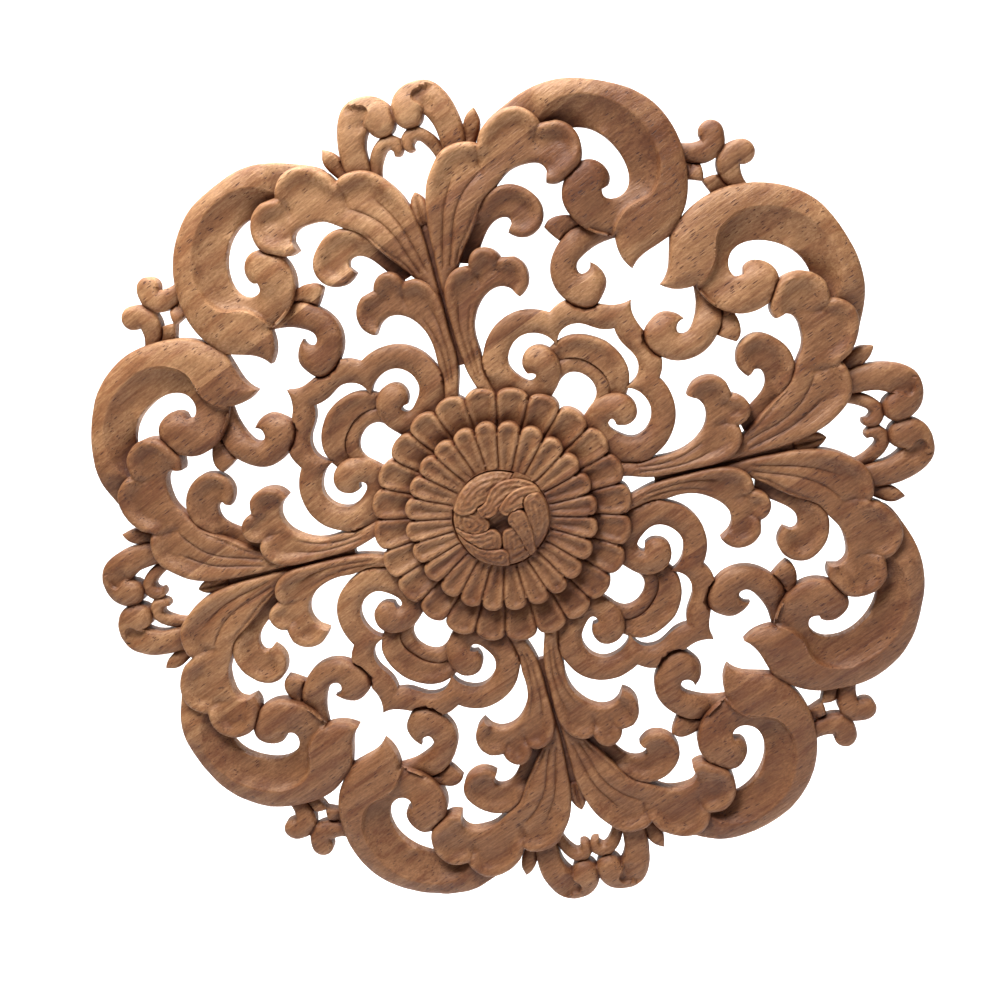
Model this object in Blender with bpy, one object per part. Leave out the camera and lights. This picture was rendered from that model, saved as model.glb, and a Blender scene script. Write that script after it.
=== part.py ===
"""Carved openwork rosette: one flat-backed wooden applique, a ring of scrolls around a flower.

The carving repeats eight times around its centre, alternately mirrored. Every member of the
ring is drawn once, in the octant between the upright axis (x = 0) and the diagonal (y = x), and
its height over the flat back is a rule of the distance to its own edge. The flower in the middle
is drawn whole. The drawing is in millimetres, x to the right and y up; the back lies in the
plane Y = 0 and the carving rises towards -Y.
"""

import bpy
import numpy as np
from math import cos, pi, radians, sin, sqrt
from mathutils import Vector
from mathutils.geometry import delaunay_2d_cdt
from mathutils.kdtree import KDTree

MM = 0.001                  # drawing unit in metres

# Board
THICKNESS = 20.0            # most that the carving stands over its back
LEAST_STEP = 0.35           # a member lies at least this far above the one that it covers

# Heights over the back
RIB_HEIGHT = 6.0            # low rib on the axis, seen between the mirrored stems
BRACT_HEIGHT = 8.5
ARCH_LIP_HEIGHT = 7.0
ARCH_HEIGHT = 9.6
BUD_HEIGHT = 9.2
SMALL_CURL_HEIGHT = 9.6
CROOK_HEIGHT = 11.6
OUTER_SCROLL_HEIGHT = 10.6
FRAME_HEIGHT = 10.2
S_SCROLL_HEIGHT = 10.8
CRESCENT_HEIGHT = 13.4
LEAF_STEP = 2.8             # from the crest of the crescent's leaf down to its bed
BED_DEPTH = 6.4             # and how far the hollow bed falls from there to the hole
BED_REACH = 8.0             # distance in which most of that fall lies
INNER_LEAF_HEIGHT = 10.6
FAN_HEIGHT = 14.0
INNER_FAN_HEIGHT = 13.2
OUTER_PETAL_HEIGHT = 12.6
INNER_PETAL_HEIGHT = 15.8

# Edges
EDGE_WIDTH = 2.8            # width of the rolled edge of a member
EDGE_DROP = 2.0             # how far the edge rolls down
VEIN_WIDTH = 3.4            # half the width of a carved vein
VEIN_DEPTH = 1.7

# Flower
PETALS = 24                 # in each of its two rings
PETAL_TURN = 10.0           # degrees from +X to the middle of the first petal
OUTER_TIP, OUTER_NOTCH = 77.0, 71.0
INNER_TIP, INNER_NOTCH = 57.2, 51.0
OUTER_FALL, INNER_FALL = 4.2, 2.6   # how far a petal falls from its tip to its foot
HEART_RADIUS = 28.5
PIT = (-1.5, -2.0)          # middle of the pit, off the centre
LOBE_FALL = 3.0             # how far a lobe falls along its tail
HEART_ROUND, HEART_DROP = 8.0, 2.6      # width and drop of the heart's rounded rim

# Facets
SPAN_POINTS = 12            # places tried between two knots of a curve
DRAWN_TOLERANCE = 0.12      # most that a drawn outline departs from its curve
FACET_TOLERANCE = 1.12      # most that a facet of the solid departs from the outline
WELD = 0.8                  # points of crossing outlines closer than this are one point
WIDE_INSET = 5.0            # from an outline to the row of points inside it, in a broad member
NARROW_INSET = 3.8          # and in a narrow one, where the two rows become one ridge
ROW_SPACING = 2.5           # least spacing of the points of a row, in insets
ROW_CLEARANCE = 0.7         # least distance from a border to a row, in insets
VEIN_CLEARANCE = 1.2        # least distance from a border to a point of a vein
GRID = 24.0                 # spacing of the points inside broad members
GRID_CLEARANCE = 0.3        # least distance from a border to those points, in spacings
GRID_SPACING = 0.55         # and from one such point to another point
REACH = 260.0               # the grid covers the drawing this far out from its centre
SAME_POINT = 0.01
OFF_AXIS = 0.0005

VOID = -1


def curve(*knots):
    """Points along a smooth curve through the knots, as many as its bends need."""
    knots = np.array(knots, float)
    chords = np.hypot(*np.diff(knots, axis=0).T)
    slopes = knot_slopes(knots, chords)
    t = (np.arange(1, SPAN_POINTS + 1) / SPAN_POINTS)[:, None]
    points = [knots[:1]]
    for i, chord in enumerate(chords):
        points.append((1 + 2 * t) * (1 - t) ** 2 * knots[i] + t ** 2 * (3 - 2 * t) * knots[i + 1]
                      + chord * (t * (1 - t) ** 2 * slopes[i] - t ** 2 * (1 - t) * slopes[i + 1]))
    path = np.concatenate(points)
    return path[needed(path, DRAWN_TOLERANCE)]


def needed(path, tolerance):
    """Which points of a path keep its facets within the tolerance."""
    keep = [0, len(path) - 1]
    todo = [keep[:]]
    while todo:
        first, last = todo.pop()
        away = distance(path[first:last + 1], path[[first, last]], closed=False)
        middle = first + int(away.argmax())
        if away.max() > tolerance:
            keep.append(middle)
            todo += [(first, middle), (middle, last)]
    return sorted(keep)


def knot_slopes(knots, chords):
    """Tangents at the knots of a cubic curve whose bend runs on evenly through every knot."""
    count = len(knots)
    if count == 2:
        return np.repeat(np.diff(knots, axis=0) / chords[0], 2, axis=0)
    rates = np.diff(knots, axis=0) / chords[:, None]
    matrix = np.zeros((count, count))
    wanted = np.zeros((count, 2))
    matrix[0, :2] = matrix[-1, -2:] = 1
    wanted[0] = 2 * rates[0]
    wanted[-1] = 2 * rates[-1]
    for i in range(1, count - 1):
        before, after = chords[i - 1], chords[i]
        matrix[i, i - 1:i + 2] = after, 2 * (before + after), before
        wanted[i] = 3 * (after * rates[i - 1] + before * rates[i])
    return np.linalg.solve(matrix, wanted)


def joined(*runs):
    """A closed outline in the octant: its runs in order, meeting at corners."""
    points = np.concatenate([np.array(run, float) for run in runs])
    points[:, 0] = np.maximum(points[:, 0], 0)
    past = points[:, 0] > points[:, 1]
    points[past] = points[past].mean(axis=1, keepdims=True)
    return points


def distance_to_edges(points, starts, ends):
    """Distance from each point to the nearest of the straight edges."""
    best = np.full(len(points), np.inf)
    for start, end in zip(starts, ends):
        run = end - start
        if run.any():
            along = np.clip((points - start) @ run / (run @ run), 0, 1)
            best = np.minimum(best, np.hypot(*(points - start - along[:, None] * run).T))
    return best


def distance(points, path, closed=True):
    """Distance from each point to the nearest part of a path."""
    if closed:
        return distance_to_edges(points, path, np.roll(path, -1, axis=0))
    return distance_to_edges(points, path[:-1], path[1:])


def contains(points, outline):
    """Which points lie inside a closed outline."""
    inside = np.zeros(len(points), bool)
    x, y = points.T
    for (x1, y1), (x2, y2) in zip(outline, np.roll(outline, -1, axis=0)):
        if y1 != y2:
            crosses = ((y1 > y) != (y2 > y)) & (x < (x2 - x1) * (y - y1) / (y2 - y1) + x1)
            inside ^= crosses
    return inside


def ease(t):
    """0 below 0, 1 above 1, and a smooth rise between."""
    t = np.clip(t, 0, 1)
    return t * t * (3 - 2 * t)


def rise(points, start, end, low, high):
    """A height that climbs smoothly from low at start to high at end."""
    run = np.subtract(end, start)
    return low + (high - low) * ease((points - start) @ run / (run @ run))


def rolled(edge, width=EDGE_WIDTH, drop=EDGE_DROP):
    """How far a rolled edge lies below its member, at a distance from the outline."""
    inward = np.clip(edge / width, 0, 1)
    return drop * (1 - np.sqrt(1 - (1 - inward) ** 2))


def dished(edge, rim, reach, depth):
    """How far a shallow dish lies below its rim."""
    return depth * ease((edge - rim) / reach)


def bevelled(edge, width, drop):
    """How far a flat bevel lies below its member, at a distance from the outline."""
    return drop * np.clip(1 - edge / width, 0, 1)


def dome(points, centre, radius, height):
    """A round swelling."""
    away = np.hypot(*(points - centre).T) / radius
    return height * np.sqrt(np.clip(1 - away ** 2, 0, 1))


def hollow(points, centre, radius, depth):
    """A round hollow with soft sides."""
    away = np.hypot(*(points - centre).T)
    return depth * ease(1 - away / radius)


def veined(points, veins):
    """How far the carved veins lie below the surface."""
    depth = np.zeros(len(points))
    for vein in veins:
        near = np.clip(1 - distance(points, vein, closed=False) / VEIN_WIDTH, 0, 1)
        depth = np.maximum(depth, VEIN_DEPTH * near)
    return depth


class Member:
    """One carved member: its outline, the rule of its height, and the veins cut into it."""

    def __init__(self, outline, height, veins=(), inset=WIDE_INSET, repeats=True):
        gaps = np.hypot(*(outline - np.roll(outline, 1, axis=0)).T)
        self.outline = outline[gaps > SAME_POINT]
        self.height = height
        self.veins = veins
        self.inset = inset
        self.repeats = repeats


def axis_rib():
    """Low rib on the axis, seen between the mirrored stems."""
    outline = joined([(0, 92), (1.8, 92), (1.8, 178), (0, 178)])
    return Member(outline, lambda p, edge: np.full(len(p), RIB_HEIGHT))


def bract():
    """Small pointed leaf on the axis, over the foot of the two fans."""
    outline = joined(curve((0, 193.3), (4, 188.2), (4.5, 179), (3, 174)), [(0, 174)])
    return Member(outline, lambda p, edge: BRACT_HEIGHT - rolled(edge, 4))


def arch(lip):
    """Arch between two cloud frames. A round lip along its foot lies lower than its dished band."""
    foot = curve((67.9, 67.9), (64.5, 70.5), (57.5, 71.6), (50, 66), (44, 60))
    step = curve((73.5, 73.5), (70.5, 76.3), (63, 79.9), (54, 79.4))
    crown = curve((46, 83), (54, 89.9), (64, 92.8), (77, 89.5), (84.4, 84.4))

    def lip_height(p, edge):
        return (ARCH_LIP_HEIGHT - rolled(distance(p, foot, closed=False), 3.4, 2.6)
                - rolled(distance(p, step, closed=False), 2.2, 1.2))

    def band_height(p, edge):
        outer = distance(p, crown, closed=False)
        return (rise(p, (52, 84), (64, 84), ARCH_LIP_HEIGHT, ARCH_HEIGHT) - rolled(outer, 2.6, 2.2)
                - dished(outer, 3, 5, 2.0) - rolled(distance(p, step, closed=False), 1.5, 0.5))
    if lip:
        return Member(joined(crown, foot, [(44, 74)]), lip_height)
    return Member(joined(crown, step, [(46, 76)]), band_height)


def top_bud():
    """Pointed bud between the crook and the fan."""
    outline = joined(curve((34, 215), (36.4, 222), (40.5, 226.8), (44.6, 228.9)),
                     curve((45.6, 225), (45.8, 220.5), (42, 213), (38, 208)),
                     [(33, 208)])
    return Member(outline, lambda p, edge: rise(p, (39, 212), (43, 226), 6.4, BUD_HEIGHT)
                  - rolled(edge, 4))


def side_bud():
    """Bud in the crotch of the crescent and the S-scroll."""
    outline = joined(curve((66, 155.6), (70, 159), (76, 159.7), (83, 157.6)),
                     [(88, 154), (82, 146)],
                     curve((73, 145), (69.5, 149.6), (66, 155.6)))
    return Member(outline, lambda p, edge: rise(p, (82, 152), (70, 155), 7.4, BUD_HEIGHT)
                  - rolled(edge, 4))


def tiny_bud():
    """Small bud that meets its mirror image under the two outer scrolls."""
    outline = joined(curve((144, 163), (151.5, 159.3), (157.0, 157.0)),
                     curve((158, 158), (158.4, 162), (157, 169)),
                     [(147, 172)])
    return Member(outline, lambda p, edge: rise(p, (149, 167), (156, 160), 5.8, BUD_HEIGHT)
                  - rolled(edge, 3))


def small_curl():
    """Small curl that meets its mirror image under the two crooks."""
    outline = joined(curve((21, 215), (16, 223), (8.5, 227.2), (0, 222.8)),
                     curve((0, 217.3), (3.5, 213.8), (6.2, 214.6)),
                     curve((6, 217), (8.5, 219.1), (12.5, 215.5), (16, 208), (16.8, 203)),
                     [(23, 206)])
    return Member(outline, lambda p, edge: rise(p, (18, 209), (8, 222), 6.6, SMALL_CURL_HEIGHT)
                  - rolled(edge))


def crook():
    """Hooked strip that ends in a ball against its mirror image, at the rim of the rosette."""
    outline = joined(curve((0, 240.5), (4.5, 246.8), (16, 250.5), (25, 248.2), (33, 237.5),
                           (35.8, 224), (34, 208)),
                     curve((22, 206), (21, 214), (20.3, 224), (16.2, 232.2)),
                     curve((15.2, 230), (12, 226.8), (4.2, 227), (0, 232.5)))

    def height(p, edge):
        strip = rise(p, (28, 209), (24, 235), 9.4, CROOK_HEIGHT)
        return (strip - rolled(edge, 6, 3.8) + dome(p, (8, 236), 8, 1.2)
                - hollow(p, (15.5, 240.5), 6, 3.2) - hollow(p, (28, 222), 6, 1.0))
    return Member(outline, height)


def outer_scroll():
    """Small scroll that curls against its mirror image at the corner of the rosette."""
    outline = joined(curve((145, 183), (154, 178.5), (160.6, 178.5)),
                     curve((159.9, 181), (161.3, 185.4), (166.5, 187.8), (172.8, 184), (173.8, 177.5),
                           (172.9, 172.9)),
                     curve((167, 167), (160, 165.8), (152, 168.6), (145, 174)))
    return Member(outline, lambda p, edge: rise(p, (150, 175), (164, 178), 8.4, OUTER_SCROLL_HEIGHT)
                  - rolled(edge, 5, 3.8))


def cloud_frame():
    """Frame of two arcs that meet in a cusp, wound into a ball beside the flower.

    Its outer edge is rolled, and a flat bevel runs along the hole inside it.
    """
    outer_side = np.concatenate([
        curve((10.5, 70), (10.5, 80), (11.2, 88), (13.6, 94.5), (19.5, 104.6), (31, 112.3),
              (43, 113.6), (56.5, 108.6)),
        curve((60.5, 111), (70, 112.8), (81, 108.8), (91, 104), (97, 102.7), (103.5, 103.5))])
    hole_side = np.concatenate([
        curve((90.6, 90.6), (81.5, 92.8), (72.5, 98), (63.5, 98), (56.2, 89)),
        curve((55.8, 89), (52.5, 94.8), (46, 98.9), (39, 99.9), (30.3, 95), (27.2, 86.5),
              (31.5, 77.7), (38.6, 73.9), (40.5, 75.8), (36.3, 78))])
    ball_side = curve((35, 80.8), (34.7, 84.5), (38.5, 91), (46, 92), (53, 86.8), (55.4, 78.5),
                      (52.7, 69), (46.8, 62.2), (42, 57))
    outline = joined(outer_side, hole_side, ball_side, [(30, 58), (14, 64)])

    def height(p, edge):
        near_flower = ease((np.hypot(*p.T) - OUTER_NOTCH) / 16)
        return (7.6 + (FRAME_HEIGHT - 7.6) * near_flower + dome(p, (45, 82), 10, 2.0)
                - rolled(distance(p, outer_side, closed=False), 5, 2.4)
                - bevelled(distance(p, hole_side, closed=False), 4.6, 2.8)
                - rolled(distance(p, ball_side, closed=False), 6, 3.2))
    return Member(outline, height)


def s_scroll():
    """Scroll that stands on the cloud frame and runs under the crescent."""
    outline = joined(curve((67.5, 113.5), (63, 123), (63.2, 132), (68, 141.5), (77, 149), (87, 152)),
                     [(98, 147), (104, 139.6)],
                     curve((96, 139), (84, 135), (78.1, 128.5), (79.5, 125.2), (83.2, 125.3),
                           (86, 130)),
                     curve((86, 130), (91, 124.8), (92.7, 117.5), (89, 110.4), (83.5, 105.8),
                           (75, 107), (67.5, 113.5)))

    def height(p, edge):
        strip = rise(p, (94, 143), (78, 140), 7.0, S_SCROLL_HEIGHT)
        return strip - rolled(edge, 7.5, 4.4)
    return Member(outline, height)


def crescent():
    """Great crescent from the fan to the diagonal, with a ball curled into its bay.

    Its lower end is a leaf whose crest stands over the hollow bed of the bay and fades out.
    """
    tail = curve((45, 209), (46.5, 217), (58, 223.9), (73, 229.1), (91, 230.7), (110, 226),
                 (130, 215.3), (145.5, 195), (150.4, 172), (147.3, 151.8), (140.5, 140.5))
    tip = curve((132.5, 132.5), (124, 129.9), (114.5, 126.5), (107.9, 120.6))
    leaf_side = curve((107.9, 120.6), (103.4, 128.6), (102.4, 134.5), (102.6, 140.4))
    ball = curve((102.6, 140.4), (84, 153.5), (79.8, 166), (82.5, 176.6), (90.5, 184.2), (100, 184.9),
                 (107, 178.6), (107.6, 171), (105.5, 168))
    bay = curve((101.8, 167.2), (102.3, 162.4), (108.5, 160.4), (116, 164.6), (118.7, 175.5),
                (115, 188), (105.8, 198.7), (94, 203.8))
    crest = curve((102.6, 140.4), (107, 148), (115, 153.8), (127, 157), (134, 164.5), (136.8, 174),
                  (135, 188), (128, 202), (115, 214), (100, 219.8), (86, 218.5), (76, 212))
    foot = curve((102.2, 143.5), (106, 149.9), (114.4, 155.9), (126, 159.2), (132, 165.5), (134.3, 174))
    beside_fan = curve((45, 212), (52, 220.2), (61, 222.8), (70, 221), (77.7, 210.6), (86, 209.8),
                       (92.5, 205.2), (96.2, 198))
    outline = joined(tail, tip, leaf_side, ball, bay, [(70, 205)])
    bed = joined(crest, [(70, 190), (70, 160)])

    def height(p, edge):
        dip = 3.4 * (1 - ease(distance(p, beside_fan, closed=False) / 13))
        outer = distance(p, np.concatenate([tail, tip, leaf_side]), closed=False)
        from_crest = distance(p, crest, closed=False)
        step = LEAF_STEP * (1 - ease((p[:, 1] - 158) / 30)) * ease(from_crest / 2.2)
        beyond_ball = np.maximum(ease((p[:, 0] - 98) / 20), ease((p[:, 1] - 188) / 12))
        fall = BED_DEPTH * (1 - np.exp(-from_crest / BED_REACH)) * beyond_ball
        step *= 1 - (1 - beyond_ball) * ease((from_crest - 8) / 16)
        return (CRESCENT_HEIGHT - dip - rolled(outer, 15, 5)
                - rolled(distance(p, ball, closed=False), 6, 3.2)
                - rolled(distance(p, bay, closed=False), 2.5, 1.0)
                - contains(p, bed) * (step + fall) + dome(p, (94, 171.5), 12, 0.8))
    return Member(outline, height, [crest, foot])


def inner_leaf():
    """Leaf that curls inwards from under the stem of the fan, dished inside its outer rim."""
    outer_side = curve((32, 176), (44, 184), (54, 183.2), (63, 177), (68.1, 167), (65, 157.5),
                       (55, 152.8), (45.2, 157.8))
    inner_side = curve((48.2, 162), (47.2, 165.6), (42.5, 167), (36, 164.3), (28, 154.5), (20, 147))
    outline = joined(outer_side, inner_side, [(13, 149), (20, 160)])

    def height(p, edge):
        swell = rise(p, (24, 156), (52, 172), 7.0, INNER_LEAF_HEIGHT)
        outer = distance(p, outer_side, closed=False)
        return (swell - rolled(outer, 2.8, 2.4) - dished(outer, 3, 6, 3.0)
                - rolled(distance(p, inner_side, closed=False), 3.6, 1.8))
    return Member(outline, height)


def fan():
    """Fan of three lobes on a narrow stem, over the crescent, the crook and the inner leaf."""
    outer_side = np.concatenate([
        curve((0.6, 126), (0.8, 142), (1.1, 158), (1.8, 171), (4.6, 186), (8, 195), (14.5, 204),
              (20, 209.5), (30, 212.3), (41, 209.5)),
        curve((44.5, 215), (52, 220.2), (61, 222.8), (70, 221), (75, 216.3), (77.7, 210.6)),
        curve((86, 209.8), (92.5, 205.2), (96.2, 198), (96.2, 190), (94.4, 185.3), (88, 180.5),
              (80, 177), (73.4, 178.6))])
    hole_side = curve((74.9, 184.5), (72, 189.4), (64, 191.4), (54, 190), (44, 183.8), (37, 180),
                      (30, 170.5), (21, 158), (13, 147), (8, 138), (6, 126))
    outline = joined(outer_side, hole_side)
    veins = [curve((5, 149), (10.5, 169), (18.5, 187), (30, 199), (41, 208)),
             curve((9, 154), (18, 174), (32, 188), (52, 199), (76, 209)),
             curve((8, 168), (12, 182), (18, 193), (25, 203))]

    def height(p, edge):
        swell = rise(p, (8, 144), (34, 196), 10.0, FAN_HEIGHT) + dome(p, (86, 189), 9, 1.4)
        lobes = 0.3 + 0.7 * ease((p[:, 1] - 172) / 24)
        outer = distance(p, outer_side, closed=False)
        return (swell - rolled(outer, 2.8, 2.6) - lobes * dished(outer, 3, 6.5, 3.4)
                - rolled(distance(p, hole_side, closed=False), 5, 2.2) - veined(p, veins))
    return Member(outline, height, veins)


def inner_fan():
    """Smaller fan of three lobes that springs from under the flower, over the foot of the fan."""
    outer_side = np.concatenate([
        curve((8.5, 66), (6, 76), (2.2, 89), (1.2, 97), (1.0, 112), (0.9, 127), (3.2, 138),
              (9.4, 145.2), (18.8, 146.3)),
        curve((21, 150.5), (24, 153.3), (28, 154.4), (32, 153.4), (37.8, 146.2)),
        curve((45, 144.5), (50.8, 136.5), (50, 127.5), (43.4, 121.2))])
    hole_side = curve((40, 126.3), (34, 129.7), (26, 128.6), (18.5, 122), (13.5, 112), (12.6, 102),
                      (12.9, 96), (12.2, 90), (12.8, 82), (16, 70))
    outline = joined(outer_side, hole_side)
    veins = [curve((7.4, 82), (5.4, 100), (6, 118), (10, 134), (17.5, 145)),
             curve((10, 84), (8.8, 102), (12, 118), (20, 132), (36, 144))]

    def height(p, edge):
        swell = rise(p, (9, 80), (22, 138), 10.4, INNER_FAN_HEIGHT)
        lobes = 0.3 + 0.7 * ease((p[:, 1] - 108) / 20)
        outer = distance(p, outer_side, closed=False)
        return (swell - rolled(outer, 2.6, 2.4) - lobes * dished(outer, 2.8, 5.6, 3.0)
                - rolled(distance(p, hole_side, closed=False), 3.6, 2.0) - veined(p, veins))
    return Member(outline, height, veins)


def petal_angles():
    """Middle of every petal, in radians."""
    return [radians(PETAL_TURN) + 2 * pi * k / PETALS for k in range(PETALS)]


def polar(radius, angle):
    """The point at a radius and an angle around the flower's centre."""
    return radius * cos(angle), radius * sin(angle)


def petal_ring(tip, notch, foot, height, fall):
    """Ring of spoon-shaped petals, each with a raised rim, parted by veins."""
    half = pi / PETALS
    outline = []
    veins = []
    for middle in petal_angles():
        for part in (-1, -0.6, 0, 0.6):
            bulge = sqrt(1 - part ** 2)
            outline.append(polar(notch + (tip - notch) * bulge, middle + part * half))
        for turn in (middle - half, middle):
            veins.append(np.array([polar(notch - 3, turn), polar(foot + 3, turn)]))

    def surface(p, edge):
        radius = np.hypot(*p.T)
        turn = (np.arctan2(p[:, 1], p[:, 0]) - radians(PETAL_TURN)) / (2 * half)
        aside = 2 * np.abs(turn - np.round(turn))
        slope = fall * (1 - ease((radius - foot) / (tip - 6 - foot)))
        return height - slope - rolled(edge, 2.5, 1.4) - 1.5 * ease((aside - 0.5) / 0.5)
    return Member(np.array(outline), surface, veins, repeats=False)


def heart_lobe(top, tip, *runs):
    """Comma-shaped lobe of the heart, highest at its round end and falling away along its tail."""
    outline = np.concatenate([np.array(run, float) for run in runs])

    def height(p, edge):
        tail = LOBE_FALL * ease(np.hypot(*(p - tip).T) / 30)
        from_rim = HEART_RADIUS - np.hypot(*p.T)
        return top - tail - rolled(edge, 2.4, 1.1) - rolled(from_rim, HEART_ROUND, HEART_DROP)
    return Member(outline, height, inset=NARROW_INSET, repeats=False)


def heart_rim(start, end):
    """Stretch of the heart's round rim between two angles in degrees."""
    count = int(abs(end - start) / 12) + 1
    return [polar(HEART_RADIUS, radians(start + (end - start) * k / count)) for k in range(count + 1)]


def heart_lobes():
    """The nine lobes that swirl around the pit, each over those before it."""
    west = heart_lobe(17.4, (-10, 1), heart_rim(200, 152),
                      curve((-20, 12), (-12, 8), (-8, 2.3), (-6.7, -0.6), (-7.5, -3.4), (-12, -8)))
    south = heart_lobe(18.2, (3, -11), heart_rim(260, 330), [(16, -4)],
                       curve((6.5, -4), (3.9, -6.7), (0.5, -7.4), (-1.4, -9.8), (-2.2, -14)))
    north_west = heart_lobe(18.2, (-17, 12), heart_rim(60, 157),
                            curve((-24.5, 9.5), (-20, 7.3), (-16.5, 7.2), (-13, 8.2), (-11, 10)),
                            [(-4, 12), (8, 18)])
    north = heart_lobe(18.9, (-7, 8), heart_rim(28, 34),
                       curve((20.5, 18.3), (14.6, 21.2), (7, 21.8), (1.3, 20.2), (-2.9, 17), (-5.8, 12.6),
                             (-11.6, 9.3)),
                       curve((-11.6, 9.3), (-11.3, 5.8), (-9, 3.2), (-5, 2.4), (-1.7, 3.9), (0.3, 6.5)),
                       [(8, 10), (20, 12)])
    north_east = heart_lobe(19.5, (5, 7), heart_rim(10, 32),
                            curve((22.7, 15), (17, 15.8), (10.2, 14.4), (4.6, 10.8), (0.4, 6.4)),
                            curve((0.4, 6.4), (1.2, 3), (4, 1.1), (7.5, 1.7), (11, 3.2), (14, 3.5)),
                            [(22, 2)])
    east = heart_lobe(19.2, (21, 5), heart_rim(-64, 12),
                      curve((25.5, 10.4), (21, 11), (17.4, 9.8), (15.2, 7), (14.8, 3.6), (14.4, -6),
                            (12, -18)))
    south_west = heart_lobe(18.2, (-8, -11), heart_rim(225, 176),
                            curve((-23, -2.6), (-16, -5.4), (-9.7, -5.2)),
                            curve((-9.7, -5.2), (-6, -5), (-3.2, -7.5), (-2, -11), (-3, -15), (-6, -19)))
    south_end = heart_lobe(18.8, (-7, -23), heart_rim(266, 183),
                           curve((-25, -6), (-19, -12), (-12, -16.3), (-6, -17.2), (-2.5, -18),
                                 (-0.3, -21.5)))
    south_east = heart_lobe(20.0, (10, -3), heart_rim(295, 305),
                            curve((16, -19.5), (16.6, -12), (15.7, -5), (14.5, 0.8), (12.3, 2.9), (9, 3.1),
                                  (6, 2), (4.2, -0.5), (4, -3.8)),
                            curve((4, -3.8), (6.4, -8), (8.6, -14), (10, -20)))
    return [west, south, north_west, north, north_east, east, south_west, south_end, south_east]


def disc():
    """Round base of the heart, seen only in the pit between the lobes."""
    outline = np.array([polar(HEART_RADIUS + 0.8, 2 * pi * k / 30) for k in range(30)])
    return Member(outline, lambda p, edge: 13.8 - hollow(p, PIT, 9, 1.5), repeats=False)


def all_members():
    """Every member, each one over those before it."""
    return [axis_rib(), bract(), arch(lip=True), arch(lip=False), top_bud(), side_bud(),
            tiny_bud(), small_curl(), crook(), outer_scroll(), cloud_frame(), s_scroll(),
            crescent(), inner_leaf(), fan(), inner_fan(),
            petal_ring(OUTER_TIP, OUTER_NOTCH, INNER_NOTCH, OUTER_PETAL_HEIGHT, OUTER_FALL),
            petal_ring(INNER_TIP, INNER_NOTCH, HEART_RADIUS, INNER_PETAL_HEIGHT, INNER_FALL),
            disc()] + heart_lobes()


def folded(points):
    """Points moved into the octant where the ring is drawn, and off the lines that bound it."""
    return np.sort(np.abs(points), axis=1) + (OFF_AXIS, 2 * OFF_AXIS)


def copies(member, path):
    """The path in each of the eight octants, or as it is for a part of the flower."""
    if not member.repeats:
        return [path]
    return [path[:, order] * (side, end)
            for order in ((0, 1), (1, 0)) for side in (1, -1) for end in (1, -1)]


def top_members(points, members):
    """Index of the uppermost member at each point, or VOID."""
    labels = np.full(len(points), VOID)
    octant = folded(points)
    for index, member in enumerate(members):
        labels[contains(octant if member.repeats else points, member.outline)] = index
    return labels


def loop_edges(start, count):
    """Edges around a closed loop of points numbered from start."""
    return [(start + i, start + (i + 1) % count) for i in range(count)]


def triangulate(points, edges):
    """Triangles over all the points that keep every edge; crossing edges gain a point."""
    out = delaunay_2d_cdt([Vector(p) for p in points], edges, [], 0, 1e-5)
    points = np.array([tuple(p) for p in out[0]])
    triangles = np.array([tuple(face) for face in out[2]])
    corners = points[triangles]
    first, second = corners[:, 1] - corners[:, 0], corners[:, 2] - corners[:, 0]
    area = first[:, 0] * second[:, 1] - first[:, 1] * second[:, 0]
    triangles[area < 0] = triangles[area < 0][:, ::-1]
    return points, triangles


def edge_sides(triangles):
    """The triangle on the left of each directed edge."""
    sides = {}
    for index, (a, b, c) in enumerate(triangles):
        for edge in ((a, b), (b, c), (c, a)):
            sides[edge] = index
    return sides


def visible_edges(members):
    """Points and edges of the drawing where one member, or the void, gives way to another."""
    points = []
    edges = []
    for member in members:
        for path in copies(member, member.outline):
            edges += loop_edges(len(points), len(path))
            points += list(path)
    points, triangles = triangulate(points, edges)
    labels = top_members(points[triangles].mean(axis=1), members)
    sides = edge_sides(triangles)
    parting = [(a, b) for (a, b), left in sides.items()
               if a < b and (b, a) in sides and labels[left] != labels[sides[b, a]]]
    return facets(*welded(points, parting))


def facets(points, edges):
    """The border in the fewest straight facets; junctions and points on an axis stay."""
    links = {}
    for a, b in edges:
        links.setdefault(a, []).append(b)
        links.setdefault(b, []).append(a)
    octant = folded(points)
    on_axis = (octant[:, 0] < WELD / 2) | (octant[:, 1] - octant[:, 0] < WELD / 2)
    fixed = [point for point in sorted(links) if len(links[point]) != 2 or on_axis[point]]
    kept = set()
    seen = set()
    for start in fixed + sorted(links):
        for ahead in links[start]:
            chain = [start, ahead]
            while (chain[-2], chain[-1]) not in seen and chain[-1] != start \
                    and not (len(links[chain[-1]]) != 2 or on_axis[chain[-1]]):
                before, here = chain[-2:]
                seen |= {(before, here), (here, before)}
                chain.append(next(end for end in links[here] if end != before))
            if (chain[-2], chain[-1]) in seen:
                continue
            seen |= {(chain[-2], chain[-1]), (chain[-1], chain[-2])}
            picked = [chain[i] for i in needed_round(points[chain])]
            kept |= {tuple(sorted(pair)) for pair in zip(picked, picked[1:])}
    order = sorted({end for edge in kept for end in edge})
    place = {old: new for new, old in enumerate(order)}
    return points[order], sorted((place[a], place[b]) for a, b in kept)


def needed_round(path):
    """The points needed of a chain, which may be a loop that ends where it starts."""
    if np.hypot(*(path[0] - path[-1])) > SAME_POINT:
        return needed(path, FACET_TOLERANCE)
    far = int(np.hypot(*(path - path[0]).T).argmax())
    return needed(path[:far + 1], FACET_TOLERANCE) + [far + i for i in
                                                      needed(path[far:], FACET_TOLERANCE)][1:]


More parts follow.
